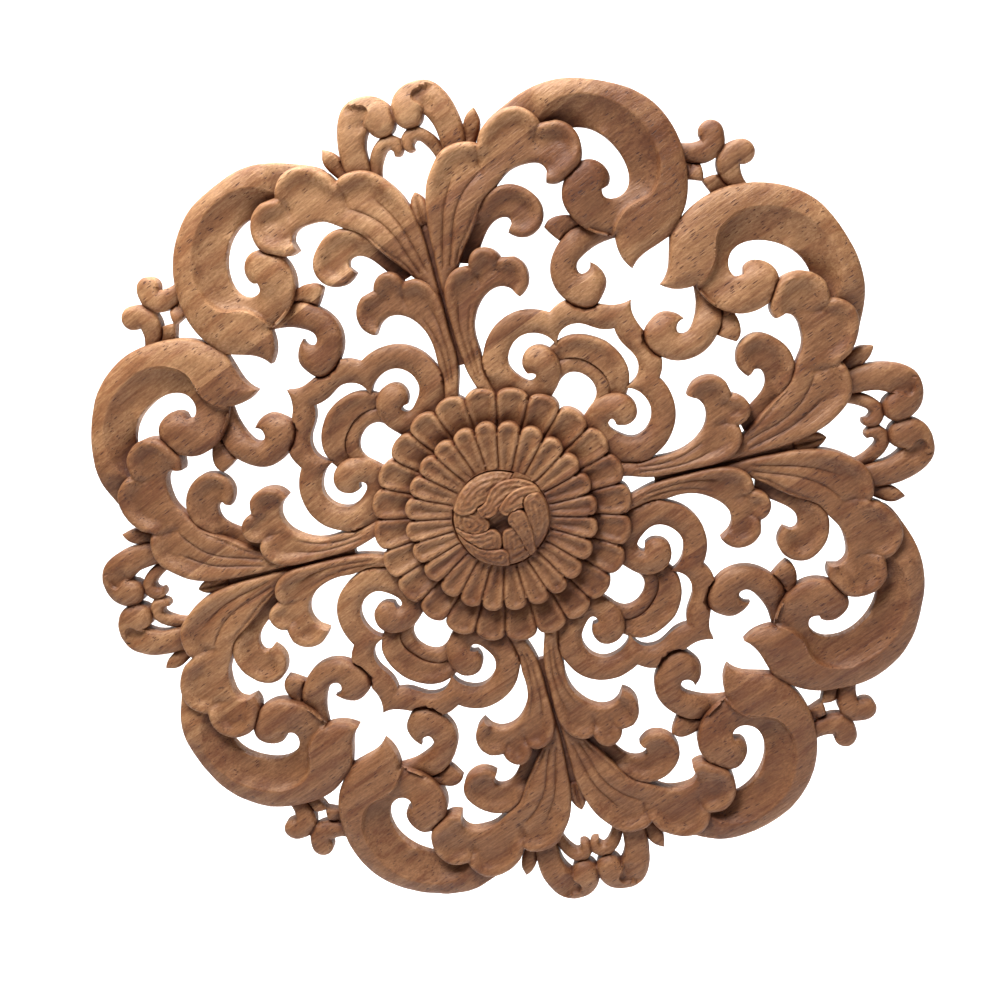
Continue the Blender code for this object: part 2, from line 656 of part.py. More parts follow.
def welded(points, edges):
    """The points of the edges, with those closer than WELD made one."""
    used = sorted({end for edge in edges for end in edge})
    tree = KDTree(len(used))
    for index, point in enumerate(used):
        tree.insert((*points[point], 0), index)
    tree.balance()
    kept = {}
    for index, point in enumerate(used):
        near = [other for _, other, _ in tree.find_range((*points[point], 0), WELD)
                if other in kept and kept[other] == other]
        kept[index] = min(near) if near else index
    number = {point: kept[index] for index, point in enumerate(used)}
    order = sorted(set(kept.values()))
    place = {old: new for new, old in enumerate(order)}
    edges = {tuple(sorted((place[number[a]], place[number[b]]))) for a, b in edges}
    return points[[used[old] for old in order]], sorted(edge for edge in edges if edge[0] != edge[1])


def inner_rows(member):
    """Points just inside the outline, where the rolled edge ends."""
    path = member.outline
    tangents = np.roll(path, -1, axis=0) - np.roll(path, 1, axis=0)
    normals = tangents[:, ::-1] * (-1, 1) / np.hypot(*tangents.T)[:, None]
    x, y = path.T
    area = x @ np.roll(y, -1) - y @ np.roll(x, -1)
    row = path + normals * member.inset * np.sign(area)
    clear = contains(row, path) & (distance(row, path) > 0.8 * member.inset)
    return row[clear]


def grid_points(spacing):
    """Even triangular grid over the whole drawing."""
    rows = int(REACH / (spacing * sqrt(3) / 2))
    columns = int(REACH / spacing) + 1
    return np.array([((i + 0.5 * (j % 2)) * spacing, j * spacing * sqrt(3) / 2)
                     for j in range(-rows, rows + 1) for i in range(-columns, columns + 1)])


def spaced(points, taken, spacing):
    """Those of the points that keep the spacing to each other and to the points taken."""
    tree = KDTree(len(taken) + len(points))
    for index, point in enumerate(np.concatenate([taken, points])):
        tree.insert((*point, 0), index)
    tree.balance()
    kept = set(range(len(taken)))
    chosen = []
    for index, point in enumerate(points):
        near = tree.find_range((*point, 0), spacing)
        if not any(other in kept for _, other, _ in near):
            kept.add(len(taken) + index)
            chosen.append(index)
    return points[chosen]


def plan(members):
    """Triangles of the drawing, with the member that each shows, and the edges between members."""
    points, edges = visible_edges(members)
    starts, ends = points[np.array(edges)].swapaxes(0, 1)
    for index, member in enumerate(members):
        for path in member.veins:
            for line in copies(member, path[needed(path, FACET_TOLERANCE)]):
                inside = top_members(line, members) == index
                inside &= distance_to_edges(line, starts, ends) > VEIN_CLEARANCE
                numbers = np.cumsum(inside) - 1 + len(points)
                edges += [(numbers[i], numbers[i + 1]) for i in range(len(line) - 1)
                          if inside[i] and inside[i + 1]]
                points = np.concatenate([points, line[inside]])
    chosen = np.empty((0, 2))
    for index, member in enumerate(members):
        rows = np.concatenate(copies(member, inner_rows(member)))
        rows = rows[top_members(rows, members) == index]
        rows = rows[distance_to_edges(rows, starts, ends) > ROW_CLEARANCE * member.inset]
        chosen = np.concatenate([chosen, spaced(rows, chosen, ROW_SPACING * member.inset)])
    points = np.concatenate([points, chosen])
    grid = grid_points(GRID)
    grid = grid[top_members(grid, members) != VOID]
    grid = grid[distance_to_edges(grid, starts, ends) > GRID_CLEARANCE * GRID]
    points = np.concatenate([points, spaced(grid, points, GRID_SPACING * GRID)])
    points, triangles = triangulate(points, edges)
    labels = top_members(points[triangles].mean(axis=1), members)
    return points, triangles, labels


def corner_heights(points, triangles, labels, members):
    """Height over the back of each member at each corner of its triangles."""
    heights = [{} for _ in points]
    octant = folded(points)
    for index, member in enumerate(members):
        corners = np.unique(triangles[labels == index])
        place = (octant if member.repeats else points)[corners]
        for corner, height in zip(corners, member.height(place, distance(place, member.outline))):
            heights[corner][index] = float(height)
    for levels in heights:
        ceiling = THICKNESS
        for index in sorted(levels, reverse=True):
            levels[index] = min(levels[index], ceiling)
            ceiling = levels[index] - LEAST_STEP
    return heights


class Solid:
    """Vertices and faces of the carving, each vertex made once."""

    def __init__(self, points):
        self.points = points
        self.numbers = {}
        self.vertices = []
        self.faces = []

    def vertex(self, corner, height):
        key = corner, height
        if key not in self.numbers:
            self.numbers[key] = len(self.vertices)
            x, y = self.points[corner]
            self.vertices.append((x * MM, -height * MM, y * MM))
        return self.numbers[key]

    def wall(self, a, b, levels_a, levels_b):
        """Upright face below the edge from a to b, through every level at its two ends."""
        while len(levels_a) > 1 or len(levels_b) > 1:
            lift_a = len(levels_b) == 1 or (len(levels_a) > 1 and levels_a[1] <= levels_b[1])
            upper = (a, levels_a[1]) if lift_a else (b, levels_b[1])
            self.faces.append((self.vertex(a, levels_a[0]), self.vertex(b, levels_b[0]),
                               self.vertex(*upper)))
            if lift_a:
                levels_a = levels_a[1:]
            else:
                levels_b = levels_b[1:]


def back_triangles(points, rim):
    """Triangles of the flat back: those that an odd number of rim edges parts from outside."""
    corners = sorted({end for edge in rim for end in edge})
    number = {corner: i for i, corner in enumerate(corners)}
    edges = [(number[a], number[b]) for a, b in rim]
    _, triangles = triangulate(points[corners], edges)
    sides = edge_sides(triangles)
    walls = {frozenset(edge) for edge in edges}
    inside = {}
    todo = []
    for edge, index in sides.items():
        if edge[::-1] not in sides:
            todo.append((index, frozenset(edge) in walls))
    while todo:
        index, state = todo.pop()
        if index in inside:
            continue
        inside[index] = state
        a, b, c = triangles[index]
        for edge in ((a, b), (b, c), (c, a)):
            other = sides.get(edge[::-1])
            if other is not None:
                todo.append((other, state != (frozenset(edge) in walls)))
    return [[corners[i] for i in triangles[index]] for index, state in inside.items() if state]


def carved_solid(members):
    """The whole carving as one closed body."""
    points, triangles, labels = plan(members)
    heights = corner_heights(points, triangles, labels, members)
    sides = edge_sides(triangles)
    open_corners = set(triangles[labels == VOID].ravel())
    solid = Solid(points)
    rim = []

    def levels(corner, low, high):
        at_corner = sorted(set(heights[corner].values()) | ({0.0} if corner in open_corners else set()))
        return [level for level in at_corner if low <= level <= high]

    for triangle, label in zip(triangles, labels):
        if label != VOID:
            solid.faces.append([solid.vertex(corner, heights[corner][label]) for corner in triangle])
    for (a, b), left in sides.items():
        label = labels[left]
        right = sides.get((b, a))
        other = VOID if right is None else labels[right]
        if label > other:
            low_a = 0.0 if other == VOID else heights[a][other]
            low_b = 0.0 if other == VOID else heights[b][other]
            solid.wall(a, b, levels(a, low_a, heights[a][label]), levels(b, low_b, heights[b][label]))
            if other == VOID:
                rim.append((a, b))
    for a, b, c in back_triangles(points, rim):
        solid.faces.append([solid.vertex(corner, 0.0) for corner in (c, b, a)])
    return solid


def wood():
    """Dry mid-brown hardwood, cut but not varnished."""
    material = bpy.data.materials.new("rubberwood")
    material.use_nodes = True
    shader = material.node_tree.nodes["Principled BSDF"]
    shader.inputs["Base Color"].default_value = (0.30, 0.17, 0.09, 1)
    shader.inputs["Roughness"].default_value = 0.65
    shader.inputs["Metallic"].default_value = 0.0
    return material


def build():
    """Clears the scene and adds the applique."""
    for old in list(bpy.data.objects):
        bpy.data.objects.remove(old, do_unlink=True)
    solid = carved_solid(all_members())
    mesh = bpy.data.meshes.new("wood_applique")
    mesh.from_pydata(solid.vertices, [], solid.faces)
    mesh.materials.append(wood())
    mesh.shade_smooth()
    mesh.set_sharp_from_angle(angle=radians(35))
    applique = bpy.data.objects.new("wood_applique", mesh)
    bpy.context.scene.collection.objects.link(applique)


build()
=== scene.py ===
"""Looks of the carved rosette: one finely carved piece of bare wood, its stage, light and camera.

The carving repeats eight times around its centre, alternately mirrored. Every member of the ring
is drawn once, in the octant between the upright axis (x = 0) and the diagonal (y = x). The
flower in the middle is drawn whole. The drawing is in millimetres, x to the right and y up; the
back lies in the plane Y = 0 and the carving rises towards -Y.
"""

import bpy
import numpy as np
from math import cos, pi, radians, sin, sqrt
from mathutils import Matrix, Vector, noise
from mathutils.geometry import delaunay_2d_cdt
from mathutils.kdtree import KDTree


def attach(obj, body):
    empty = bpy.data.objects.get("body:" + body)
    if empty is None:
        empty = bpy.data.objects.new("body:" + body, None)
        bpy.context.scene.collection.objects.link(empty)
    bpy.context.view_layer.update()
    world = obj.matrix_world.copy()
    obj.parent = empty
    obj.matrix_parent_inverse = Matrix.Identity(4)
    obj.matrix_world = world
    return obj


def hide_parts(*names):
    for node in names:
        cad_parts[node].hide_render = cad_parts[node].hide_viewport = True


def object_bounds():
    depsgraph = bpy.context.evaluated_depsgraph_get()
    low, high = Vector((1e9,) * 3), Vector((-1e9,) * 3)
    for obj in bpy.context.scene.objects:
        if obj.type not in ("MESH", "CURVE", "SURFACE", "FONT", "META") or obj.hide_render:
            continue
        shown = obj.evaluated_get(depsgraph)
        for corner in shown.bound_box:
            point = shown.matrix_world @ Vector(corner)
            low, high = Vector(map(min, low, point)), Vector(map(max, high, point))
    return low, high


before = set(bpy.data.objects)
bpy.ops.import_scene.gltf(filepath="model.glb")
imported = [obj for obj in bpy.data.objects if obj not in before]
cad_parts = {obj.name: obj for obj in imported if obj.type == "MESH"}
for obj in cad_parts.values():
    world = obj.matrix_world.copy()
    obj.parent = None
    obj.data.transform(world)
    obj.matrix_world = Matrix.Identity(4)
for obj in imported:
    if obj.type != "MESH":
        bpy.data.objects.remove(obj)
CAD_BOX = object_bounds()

NODE = "wood_applique"
MM = 0.001  # drawing unit in metres

# Board
THICKNESS = 20.0   # most that the carving stands over its back
LEAST_STEP = 0.35  # a member lies at least this far above the one that it covers

# Heights over the back
RIB_HEIGHT = 6.0  # low rib on the axis, seen between the mirrored stems
BRACT_HEIGHT = 8.5
ARCH_LIP_HEIGHT = 7.0
ARCH_HEIGHT = 9.6
BUD_HEIGHT = 9.2
SMALL_CURL_HEIGHT = 9.6
CROOK_HEIGHT = 11.6
OUTER_SCROLL_HEIGHT = 10.6
FRAME_HEIGHT = 10.2
S_SCROLL_HEIGHT = 10.8
CRESCENT_HEIGHT = 13.4
LEAF_STEP = 2.8   # from the crest of the crescent's leaf down to its bed
BED_DEPTH = 6.4   # and how far the hollow bed falls from there to the hole
BED_REACH = 8.0   # distance in which most of that fall lies
INNER_LEAF_HEIGHT = 10.6
FAN_HEIGHT = 14.0
INNER_FAN_HEIGHT = 13.2
OUTER_PETAL_HEIGHT = 12.6
INNER_PETAL_HEIGHT = 15.8

# Edges
EDGE_DROP = 2.0     # how far a rolled edge falls, where nothing else is said
GROOVE_WIDTH = 1.2  # half the width of a carved groove
GROOVE_DEPTH = 0.9
GROOVE_FADE = 12.0  # length over which a groove runs out at its end
CREASE_WIDTH = 3.2  # and of the soft crease below a notch
CREASE_DEPTH = 1.6

# Flower
PETALS = 24           # in each of its two rings
PETAL_TURN = 10.0     # degrees from +X to the middle of the first petal
PETAL_POINTS = 16     # along the tip of a petal
OUTER_TIP, OUTER_NOTCH = 77.0, 71.0
INNER_TIP, INNER_NOTCH = 57.2, 51.0
OUTER_FALL, INNER_FALL = 4.2, 2.6  # how far a petal falls from its tip to its foot
HEART_RADIUS = 28.5
DISC_HEIGHT = 13.8    # of the base under the lobes
PIT = (-1.5, -2.0)    # middle of the pit, off the centre
PIT_RADIUS, PIT_DEPTH = 9.0, 1.5
LOBE_FALL = 3.0       # how far a lobe falls along its tail
LOBE_LENGTH = 30.0    # in which it falls so far
HEART_ROUND, HEART_DROP = 8.0, 2.6  # width and drop of the heart's rounded rim
STROKE_SPACING = 3.0  # between the fine strokes that follow the edge of a lobe
STROKE_DEPTH = 0.3
ROUGH_HEART = 0.5     # how far the torn grain of the heart rises and falls
TORN_GRAIN = 2.2      # and the size of its tears

# Irregularity of work done by hand
GOUGE_STROKE = 8.0     # size of the flats that the gouge left
UNEVEN_SURFACE = 0.55  # how far they rise and fall
OUTLINE_WAVE = 26.0    # length in which the outlines stray
UNEVEN_OUTLINE = 0.8   # and how far they do
LAYER_STEP = 7.3       # between the fields of noise of two members

# Mesh
SPAN_POINTS = 24        # places tried between two knots of a curve
DRAWN_TOLERANCE = 0.04  # most that a drawn outline departs from its curve
WELD = 0.25             # points of crossing outlines closer than this are one point
BORDER_STEP = 2.0       # longest facet along a border
ROWS = (0.25, 0.8, 1.7, 3.1)  # distances of the rows of points inside an outline
ROW_STEP = 1.9          # between the points of a row
ROW_GAPS = (0.35, 0.5, 0.8, 1.1)  # least distance of a row's point from the others
GROOVE_ROWS = (0, 0.8, -0.8, 1.6, -1.6)  # rows of points along a groove and beside it
GROOVE_GAP = 0.5        # least distance of a groove's point from the others
GRID = 2.6              # spacing of the points inside the members
FLOWER_GRID = 1.6       # and inside those of the flower
HEART_GRID = 0.8        # and inside those of its heart
GRID_GAP = 0.55         # least distance of such a point from the others, in spacings
SAME_POINT = 0.01       # points of an outline closer than this are one point
OFF_AXIS = 0.0005       # how far folded points keep from the lines of symmetry
REACH = 256.0           # half the width of the square that is triangulated
VOID = -1               # label of the openings and of the surround
SHARP = radians(42)     # edges that bend more than this are shaded sharp


def curve(*knots):
    """Points along a smooth curve through the knots, as many as its bends need."""
    knots = np.array(knots, float)
    chords = np.hypot(*np.diff(knots, axis=0).T)
    slopes = knot_slopes(knots, chords)
    t = (np.arange(1, SPAN_POINTS + 1) / SPAN_POINTS)[:, None]
    points = [knots[:1]]
    for i, chord in enumerate(chords):
        points.append((1 + 2 * t) * (1 - t) ** 2 * knots[i] + t ** 2 * (3 - 2 * t) * knots[i + 1]
                      + chord * (t * (1 - t) ** 2 * slopes[i] - t ** 2 * (1 - t) * slopes[i + 1]))
    path = np.concatenate(points)
    return path[needed(path, DRAWN_TOLERANCE)]


def needed(path, tolerance):
    """Which points of a path keep its facets within the tolerance."""
    keep = [0, len(path) - 1]
    todo = [keep[:]]
    while todo:
        first, last = todo.pop()
        away = beside(path[first:last + 1], path[[first, last]])
        middle = first + int(away.argmax())
        if away.max() > tolerance:
            keep.append(middle)
            todo += [(first, middle), (middle, last)]
    return sorted(keep)


def knot_slopes(knots, chords):
    """Tangents at the knots of a cubic curve whose bend runs on evenly through every knot."""
    count = len(knots)
    rates = np.diff(knots, axis=0) / chords[:, None]
    matrix = np.zeros((count, count))
    wanted = np.zeros((count, 2))
    matrix[0, :2] = matrix[-1, -2:] = 1
    wanted[0] = 2 * rates[0]
    wanted[-1] = 2 * rates[-1]
    for i in range(1, count - 1):
        before, after = chords[i - 1], chords[i]
        matrix[i, i - 1:i + 2] = after, 2 * (before + after), before
        wanted[i] = 3 * (after * rates[i - 1] + before * rates[i])
    return np.linalg.solve(matrix, wanted)


def joined(*runs):
    """A closed outline in the octant: its runs in order, meeting at corners."""
    points = np.concatenate([np.array(run, float) for run in runs])
    points[:, 0] = np.maximum(points[:, 0], 0)
    past = points[:, 0] > points[:, 1]
    points[past] = points[past].mean(axis=1, keepdims=True)
    return points


def even(path, step, closed):
    """The path with evenly spaced points, about a step apart."""
    ring = np.concatenate([path, path[:1]]) if closed else path
    along = np.concatenate([[0], np.cumsum(np.hypot(*np.diff(ring, axis=0).T))])
    count = max(1, round(along[-1] / step))
    places = np.linspace(0, along[-1], count + 1)
    spots = np.stack([np.interp(places, along, ring[:, axis]) for axis in (0, 1)], axis=1)
    return spots[:-1] if closed else spots


def distance_to_edges(points, starts, ends):
    """Distance from each point to the nearest of the straight edges."""
    best = np.full(len(points), np.inf)
    for start, end in zip(starts, ends):
        run = end - start
        if run.any():
            along = np.clip((points - start) @ run / (run @ run), 0, 1)
            best = np.minimum(best, np.hypot(*(points - start - along[:, None] * run).T))
    return best


def distance(points, outline):
    """Distance from each point to a closed outline."""
    return distance_to_edges(points, outline, np.roll(outline, -1, axis=0))


def beside(points, line):
    """Distance from each point to an open line."""
    return distance_to_edges(points, line[:-1], line[1:])


def contains(points, outline):
    """Which points lie inside a closed outline."""
    inside = np.zeros(len(points), bool)
    low, high = outline.min(axis=0), outline.max(axis=0)
    near = np.flatnonzero(((points >= low) & (points <= high)).all(axis=1))
    x, y = points[near].T
    found = np.zeros(len(near), bool)
    for (x1, y1), (x2, y2) in zip(outline, np.roll(outline, -1, axis=0)):
        if y1 != y2:
            found ^= ((y1 > y) != (y2 > y)) & (x < (x2 - x1) * (y - y1) / (y2 - y1) + x1)
    inside[near] = found
    return inside


def ease(t):
    """0 below 0, 1 above 1, and a smooth rise between."""
    t = np.clip(t, 0, 1)
    return t * t * (3 - 2 * t)


def rise(points, start, end, low, high):
    """A height that climbs smoothly from low at start to high at end."""
    run = np.subtract(end, start)
    return low + (high - low) * ease((points - start) @ run / (run @ run))


def rolled(edge, width, drop=EDGE_DROP):
    """How far a rolled edge lies below its member, at a distance from the outline."""
    inward = np.clip(edge / width, 0, 1)
    return drop * (1 - np.sqrt(1 - (1 - inward) ** 2))


def dished(edge, rim, reach, depth):
    """How far a shallow dish lies below its rim."""
    return depth * ease((edge - rim) / reach)


def bevelled(edge, width, drop):
    """How far a flat bevel lies below its member, at a distance from the outline."""
    return drop * np.clip(1 - edge / width, 0, 1)


def dome(points, centre, radius, height):
    """A round swelling."""
    away = np.hypot(*(points - centre).T) / radius
    return height * np.sqrt(np.clip(1 - away ** 2, 0, 1))


def grooved(points, grooves, width=GROOVE_WIDTH, depth=GROOVE_DEPTH):
    """How far the carved grooves lie below the surface."""
    below = np.zeros(len(points))
    for groove in grooves:
        near = np.clip(1 - beside(points, groove) / width, 0, 1)
        to_end = np.hypot(*(points - groove[-1]).T)
        below = np.maximum(below, depth * near * ease(to_end / GROOVE_FADE))
    return below


class Member:
    """One carved member: its outline, the rule of its height, and the grooves cut into it."""

    def __init__(self, outline, height, grooves=(), repeats=True):
        gaps = np.hypot(*(outline - np.roll(outline, 1, axis=0)).T)
        self.outline = outline[gaps > SAME_POINT]
        self.height = height
        self.grooves = grooves
        self.repeats = repeats


def swelling(outline, foot, tip, low, high, width, drop=EDGE_DROP):
    """Member that rises from its foot to its tip, with its edge rolled all round."""
    return Member(outline, lambda p, edge: rise(p, foot, tip, low, high) - rolled(edge, width, drop))


def axis_rib():
    """Low rib on the axis, seen between the mirrored stems."""
    outline = joined([(0, 92), (1.8, 92), (1.8, 178), (0, 178)])
    return Member(outline, lambda p, edge: np.full(len(p), RIB_HEIGHT))


def bract():
    """Small pointed leaf on the axis, over the foot of the two fans."""
    outline = joined(curve((0, 193.3), (4, 188.2), (4.5, 179), (3, 174)), [(0, 174)])
    crease = np.array([(0, 174), (0, 190)])
    return Member(outline, lambda p, edge: BRACT_HEIGHT - rolled(edge, 4)
                  - grooved(p, [crease], 1.6, 0.9))


def arch(lip):
    """Arch between two cloud frames. A round lip along its foot lies lower than its dished band."""
    foot = curve((67.9, 67.9), (64.5, 70.5), (57.5, 71.6), (50, 66), (44, 60))
    step = curve((73.5, 73.5), (70.5, 76.3), (63, 79.9), (54, 79.4))
    crown = curve((46, 83), (54, 89.9), (64, 92.8), (77, 89.5), (84.4, 84.4))

    def lip_height(p, edge):
        return (ARCH_LIP_HEIGHT - rolled(beside(p, foot), 3.4, 2.6)
                - rolled(beside(p, step), 2.2, 1.2))

    def band_height(p, edge):
        outer = beside(p, crown)
        return (rise(p, (52, 84), (64, 84), ARCH_LIP_HEIGHT, ARCH_HEIGHT) - rolled(outer, 2.6, 2.2)
                - dished(outer, 3, 5, 2.0) - rolled(beside(p, step), 1.5, 0.5))
    if lip:
        return Member(joined(crown, foot, [(44, 74)]), lip_height)
    return Member(joined(crown, step, [(46, 76)]), band_height)


def top_bud():
    """Pointed bud between the crook and the fan."""
    outline = joined(
        curve((34, 215), (36.4, 222), (40.5, 226.8), (44.6, 228.9)),
        curve((45.6, 225), (45.8, 220.5), (42, 213), (38, 208)),
        [(33, 208)])
    return swelling(outline, (39, 212), (43, 226), 6.4, BUD_HEIGHT, 4)


def side_bud():
    """Bud in the crotch of the crescent and the S-scroll."""
    outline = joined(
        curve((66, 155.6), (70, 159), (76, 159.7), (83, 157.6)),
        [(88, 154), (82, 146)],
        curve((73, 145), (69.5, 149.6), (66, 155.6)))
    return swelling(outline, (82, 152), (70, 155), 7.4, BUD_HEIGHT, 4)


def tiny_bud():
    """Small bud that meets its mirror image under the two outer scrolls."""
    outline = joined(
        curve((144, 163), (151.5, 159.3), (157.0, 157.0)),
        curve((158, 158), (158.4, 162), (157, 169)),
        [(147, 172)])
    return swelling(outline, (149, 167), (156, 160), 5.8, BUD_HEIGHT, 3)


def small_curl():
    """Small curl that meets its mirror image under the two crooks."""
    outline = joined(
        curve((21, 215), (16, 223), (8.5, 227.2), (0, 222.8)),
        curve((0, 217.3), (3.5, 213.8), (6.2, 214.6)),
        curve((6, 217), (8.5, 219.1), (12.5, 215.5), (16, 208), (16.8, 203)),
        [(23, 206)])
    return swelling(outline, (18, 209), (8, 222), 6.6, SMALL_CURL_HEIGHT, 4, 3.2)


def crook():
    """Hooked strip that ends in a ball against its mirror image, at the rim of the rosette."""
    outline = joined(
        curve((0, 240.5), (4.5, 246.8), (16, 250.5), (25, 248.2), (33, 237.5), (35.8, 224), (34, 208)),
        curve((22, 206), (21, 214), (20.3, 224), (16.2, 232.2)),
        curve((15.2, 230), (12, 226.8), (4.2, 227), (0, 232.5)))
    cliff = curve((17.8, 246), (15, 245.6), (12.3, 242.5), (12.8, 239.5), (15, 237.5), (16.2, 232.2))
    beyond = joined(cliff, [(40, 215), (40, 246)])

    def height(p, edge):
        strip = rise(p, (28, 209), (24, 235), 9.4, CROOK_HEIGHT)
        away = beside(p, cliff)
        fade = ease((p[:, 1] - 231) / 5)
        step = 2.2 * contains(p, beyond) * ease(away / 1.2) * (1 - ease((away - 1.5) / 9)) * fade
        return strip - rolled(edge, 6, 3.8) + dome(p, (8, 236), 9, 1.2) - step
    return Member(outline, height, [cliff])


def outer_scroll():
    """Small scroll that curls against its mirror image at the corner of the rosette."""
    outline = joined(
        curve((145, 183), (154, 178.5), (160.6, 178.5)),
        curve((159.9, 181), (161.3, 185.4), (166.5, 187.8), (172.8, 184), (173.8, 177.5), (172.9, 172.9)),
        curve((167, 167), (160, 165.8), (152, 168.6), (145, 174)))
    return swelling(outline, (150, 175), (164, 178), 8.4, OUTER_SCROLL_HEIGHT, 5, 3.8)


def cloud_frame():
    """Frame of two arcs that meet in a cusp, wound into a ball beside the flower.

    Its outer edge is rolled, and a flat bevel runs along the hole inside it.
    """
    outer_side = np.concatenate([
        curve((10.5, 70), (10.5, 80), (11.2, 88), (13.6, 94.5), (19.5, 104.6), (31, 112.3),
              (43, 113.6), (56.5, 108.6)),
        curve((60.5, 111), (70, 112.8), (81, 108.8), (91, 104), (97, 102.7), (103.5, 103.5))])
    hole_side = np.concatenate([
        curve((90.6, 90.6), (81.5, 92.8), (72.5, 98), (63.5, 98), (56.2, 89)),
        curve((55.8, 89), (52.5, 94.8), (46, 98.9), (39, 99.9), (30.3, 95), (27.2, 86.5),
              (31.5, 77.7), (38.6, 73.9), (40.5, 75.8), (36.3, 78))])
    ball_side = curve((35, 80.8), (34.7, 84.5), (38.5, 91), (46, 92), (53, 86.8), (55.4, 78.5),
                      (52.7, 69), (46.8, 62.2), (42, 57))
    outline = joined(outer_side, hole_side, ball_side, [(30, 58), (14, 64)])

    def height(p, edge):
        near_flower = ease((np.hypot(*p.T) - OUTER_NOTCH) / 16)
        return (7.6 + (FRAME_HEIGHT - 7.6) * near_flower + dome(p, (45, 82), 10, 2.0)
                - rolled(beside(p, outer_side), 5, 2.4)
                - bevelled(beside(p, hole_side), 4.6, 2.8)
                - rolled(beside(p, ball_side), 6, 3.2))
    return Member(outline, height)


def s_scroll():
    """Scroll that stands on the cloud frame and runs under the crescent."""
    outline = joined(
        curve((67.5, 113.5), (63, 123), (63.2, 132), (68, 141.5), (77, 149), (87, 152)),
        [(98, 147), (104, 139.6)],
        curve((96, 139), (84, 135), (78.1, 128.5), (79.5, 125.2), (83.2, 125.3), (86, 130)),
        curve((86, 130), (91, 124.8), (92.7, 117.5), (89, 110.4), (83.5, 105.8), (75, 107), (67.5, 113.5)))
    return swelling(outline, (94, 143), (78, 140), 7.0, S_SCROLL_HEIGHT, 7.5, 4.4)


def crescent():
    """Great crescent from the fan to the diagonal, with a ball curled into its bay.

    Its lower end is a leaf whose crest stands over the hollow bed of the bay and fades out.
    """
    tail = curve((45, 209), (46.5, 217), (58, 223.9), (73, 229.1), (91, 230.7), (110, 226),
                 (130, 215.3), (145.5, 195), (150.4, 172), (147.3, 151.8), (140.5, 140.5))
    tip = curve((132.5, 132.5), (124, 129.9), (114.5, 126.5), (107.9, 120.6))
    leaf_side = curve((107.9, 120.6), (103.4, 128.6), (102.4, 134.5), (102.6, 140.4))
    ball = curve((102.6, 140.4), (84, 153.5), (79.8, 166), (82.5, 176.6), (90.5, 184.2), (100, 184.9),
                 (107, 178.6), (107.6, 171), (105.5, 168))
    bay = curve((101.8, 167.2), (102.3, 162.4), (108.5, 160.4), (116, 164.6), (118.7, 175.5),
                (115, 188), (105.8, 198.7), (94, 203.8))
    crest = curve((102.6, 140.4), (107, 148), (115, 153.8), (127, 157), (134, 164.5), (136.8, 174),
                  (135, 188), (128, 202), (115, 214), (100, 219.8), (86, 218.5), (76, 212))
    foot = curve((102.2, 143.5), (106, 149.9), (114.4, 155.9), (126, 159.2), (132, 165.5), (134.3, 174))
    beside_fan = curve((45, 212), (52, 220.2), (61, 222.8), (70, 221), (77.7, 210.6), (86, 209.8),
                       (92.5, 205.2), (96.2, 198))
    outline = joined(tail, tip, leaf_side, ball, bay, [(70, 205)])
    bed = joined(crest, [(70, 190), (70, 160)])

    def height(p, edge):
        dip = 3.4 * (1 - ease(beside(p, beside_fan) / 13))
        outer = beside(p, np.concatenate([tail, tip, leaf_side]))
        from_crest = beside(p, crest)
        step = LEAF_STEP * (1 - ease((p[:, 1] - 158) / 30)) * ease(from_crest / 2.2)
        beyond_ball = np.maximum(ease((p[:, 0] - 98) / 20), ease((p[:, 1] - 188) / 12))
        fall = BED_DEPTH * (1 - np.exp(-from_crest / BED_REACH)) * beyond_ball
        step *= 1 - (1 - beyond_ball) * ease((from_crest - 8) / 16)
        return (CRESCENT_HEIGHT - dip - rolled(outer, 15, 5)
                - rolled(beside(p, ball), 6, 3.2)
                - rolled(beside(p, bay), 2.5, 1.0)
                - contains(p, bed) * (step + fall) + dome(p, (94, 171.5), 12, 0.8))
    return Member(outline, height, [crest, foot])


def inner_leaf():
    """Leaf that curls inwards from under the stem of the fan, dished inside its outer rim."""
    outer_side = curve((32, 176), (44, 184), (54, 183.2), (63, 177), (68.1, 167), (65, 157.5),
                       (55, 152.8), (45.2, 157.8))
    inner_side = curve((48.2, 162), (47.2, 165.6), (42.5, 167), (36, 164.3), (28, 154.5), (20, 147))
    outline = joined(outer_side, inner_side, [(13, 149), (20, 160)])

    def height(p, edge):
        swell = rise(p, (24, 156), (52, 172), 7.0, INNER_LEAF_HEIGHT)
        outer = beside(p, outer_side)
        return (swell - rolled(outer, 2.8, 2.4) - dished(outer, 3, 6, 3.0)
                - rolled(beside(p, inner_side), 3.6, 1.8))
    return Member(outline, height)


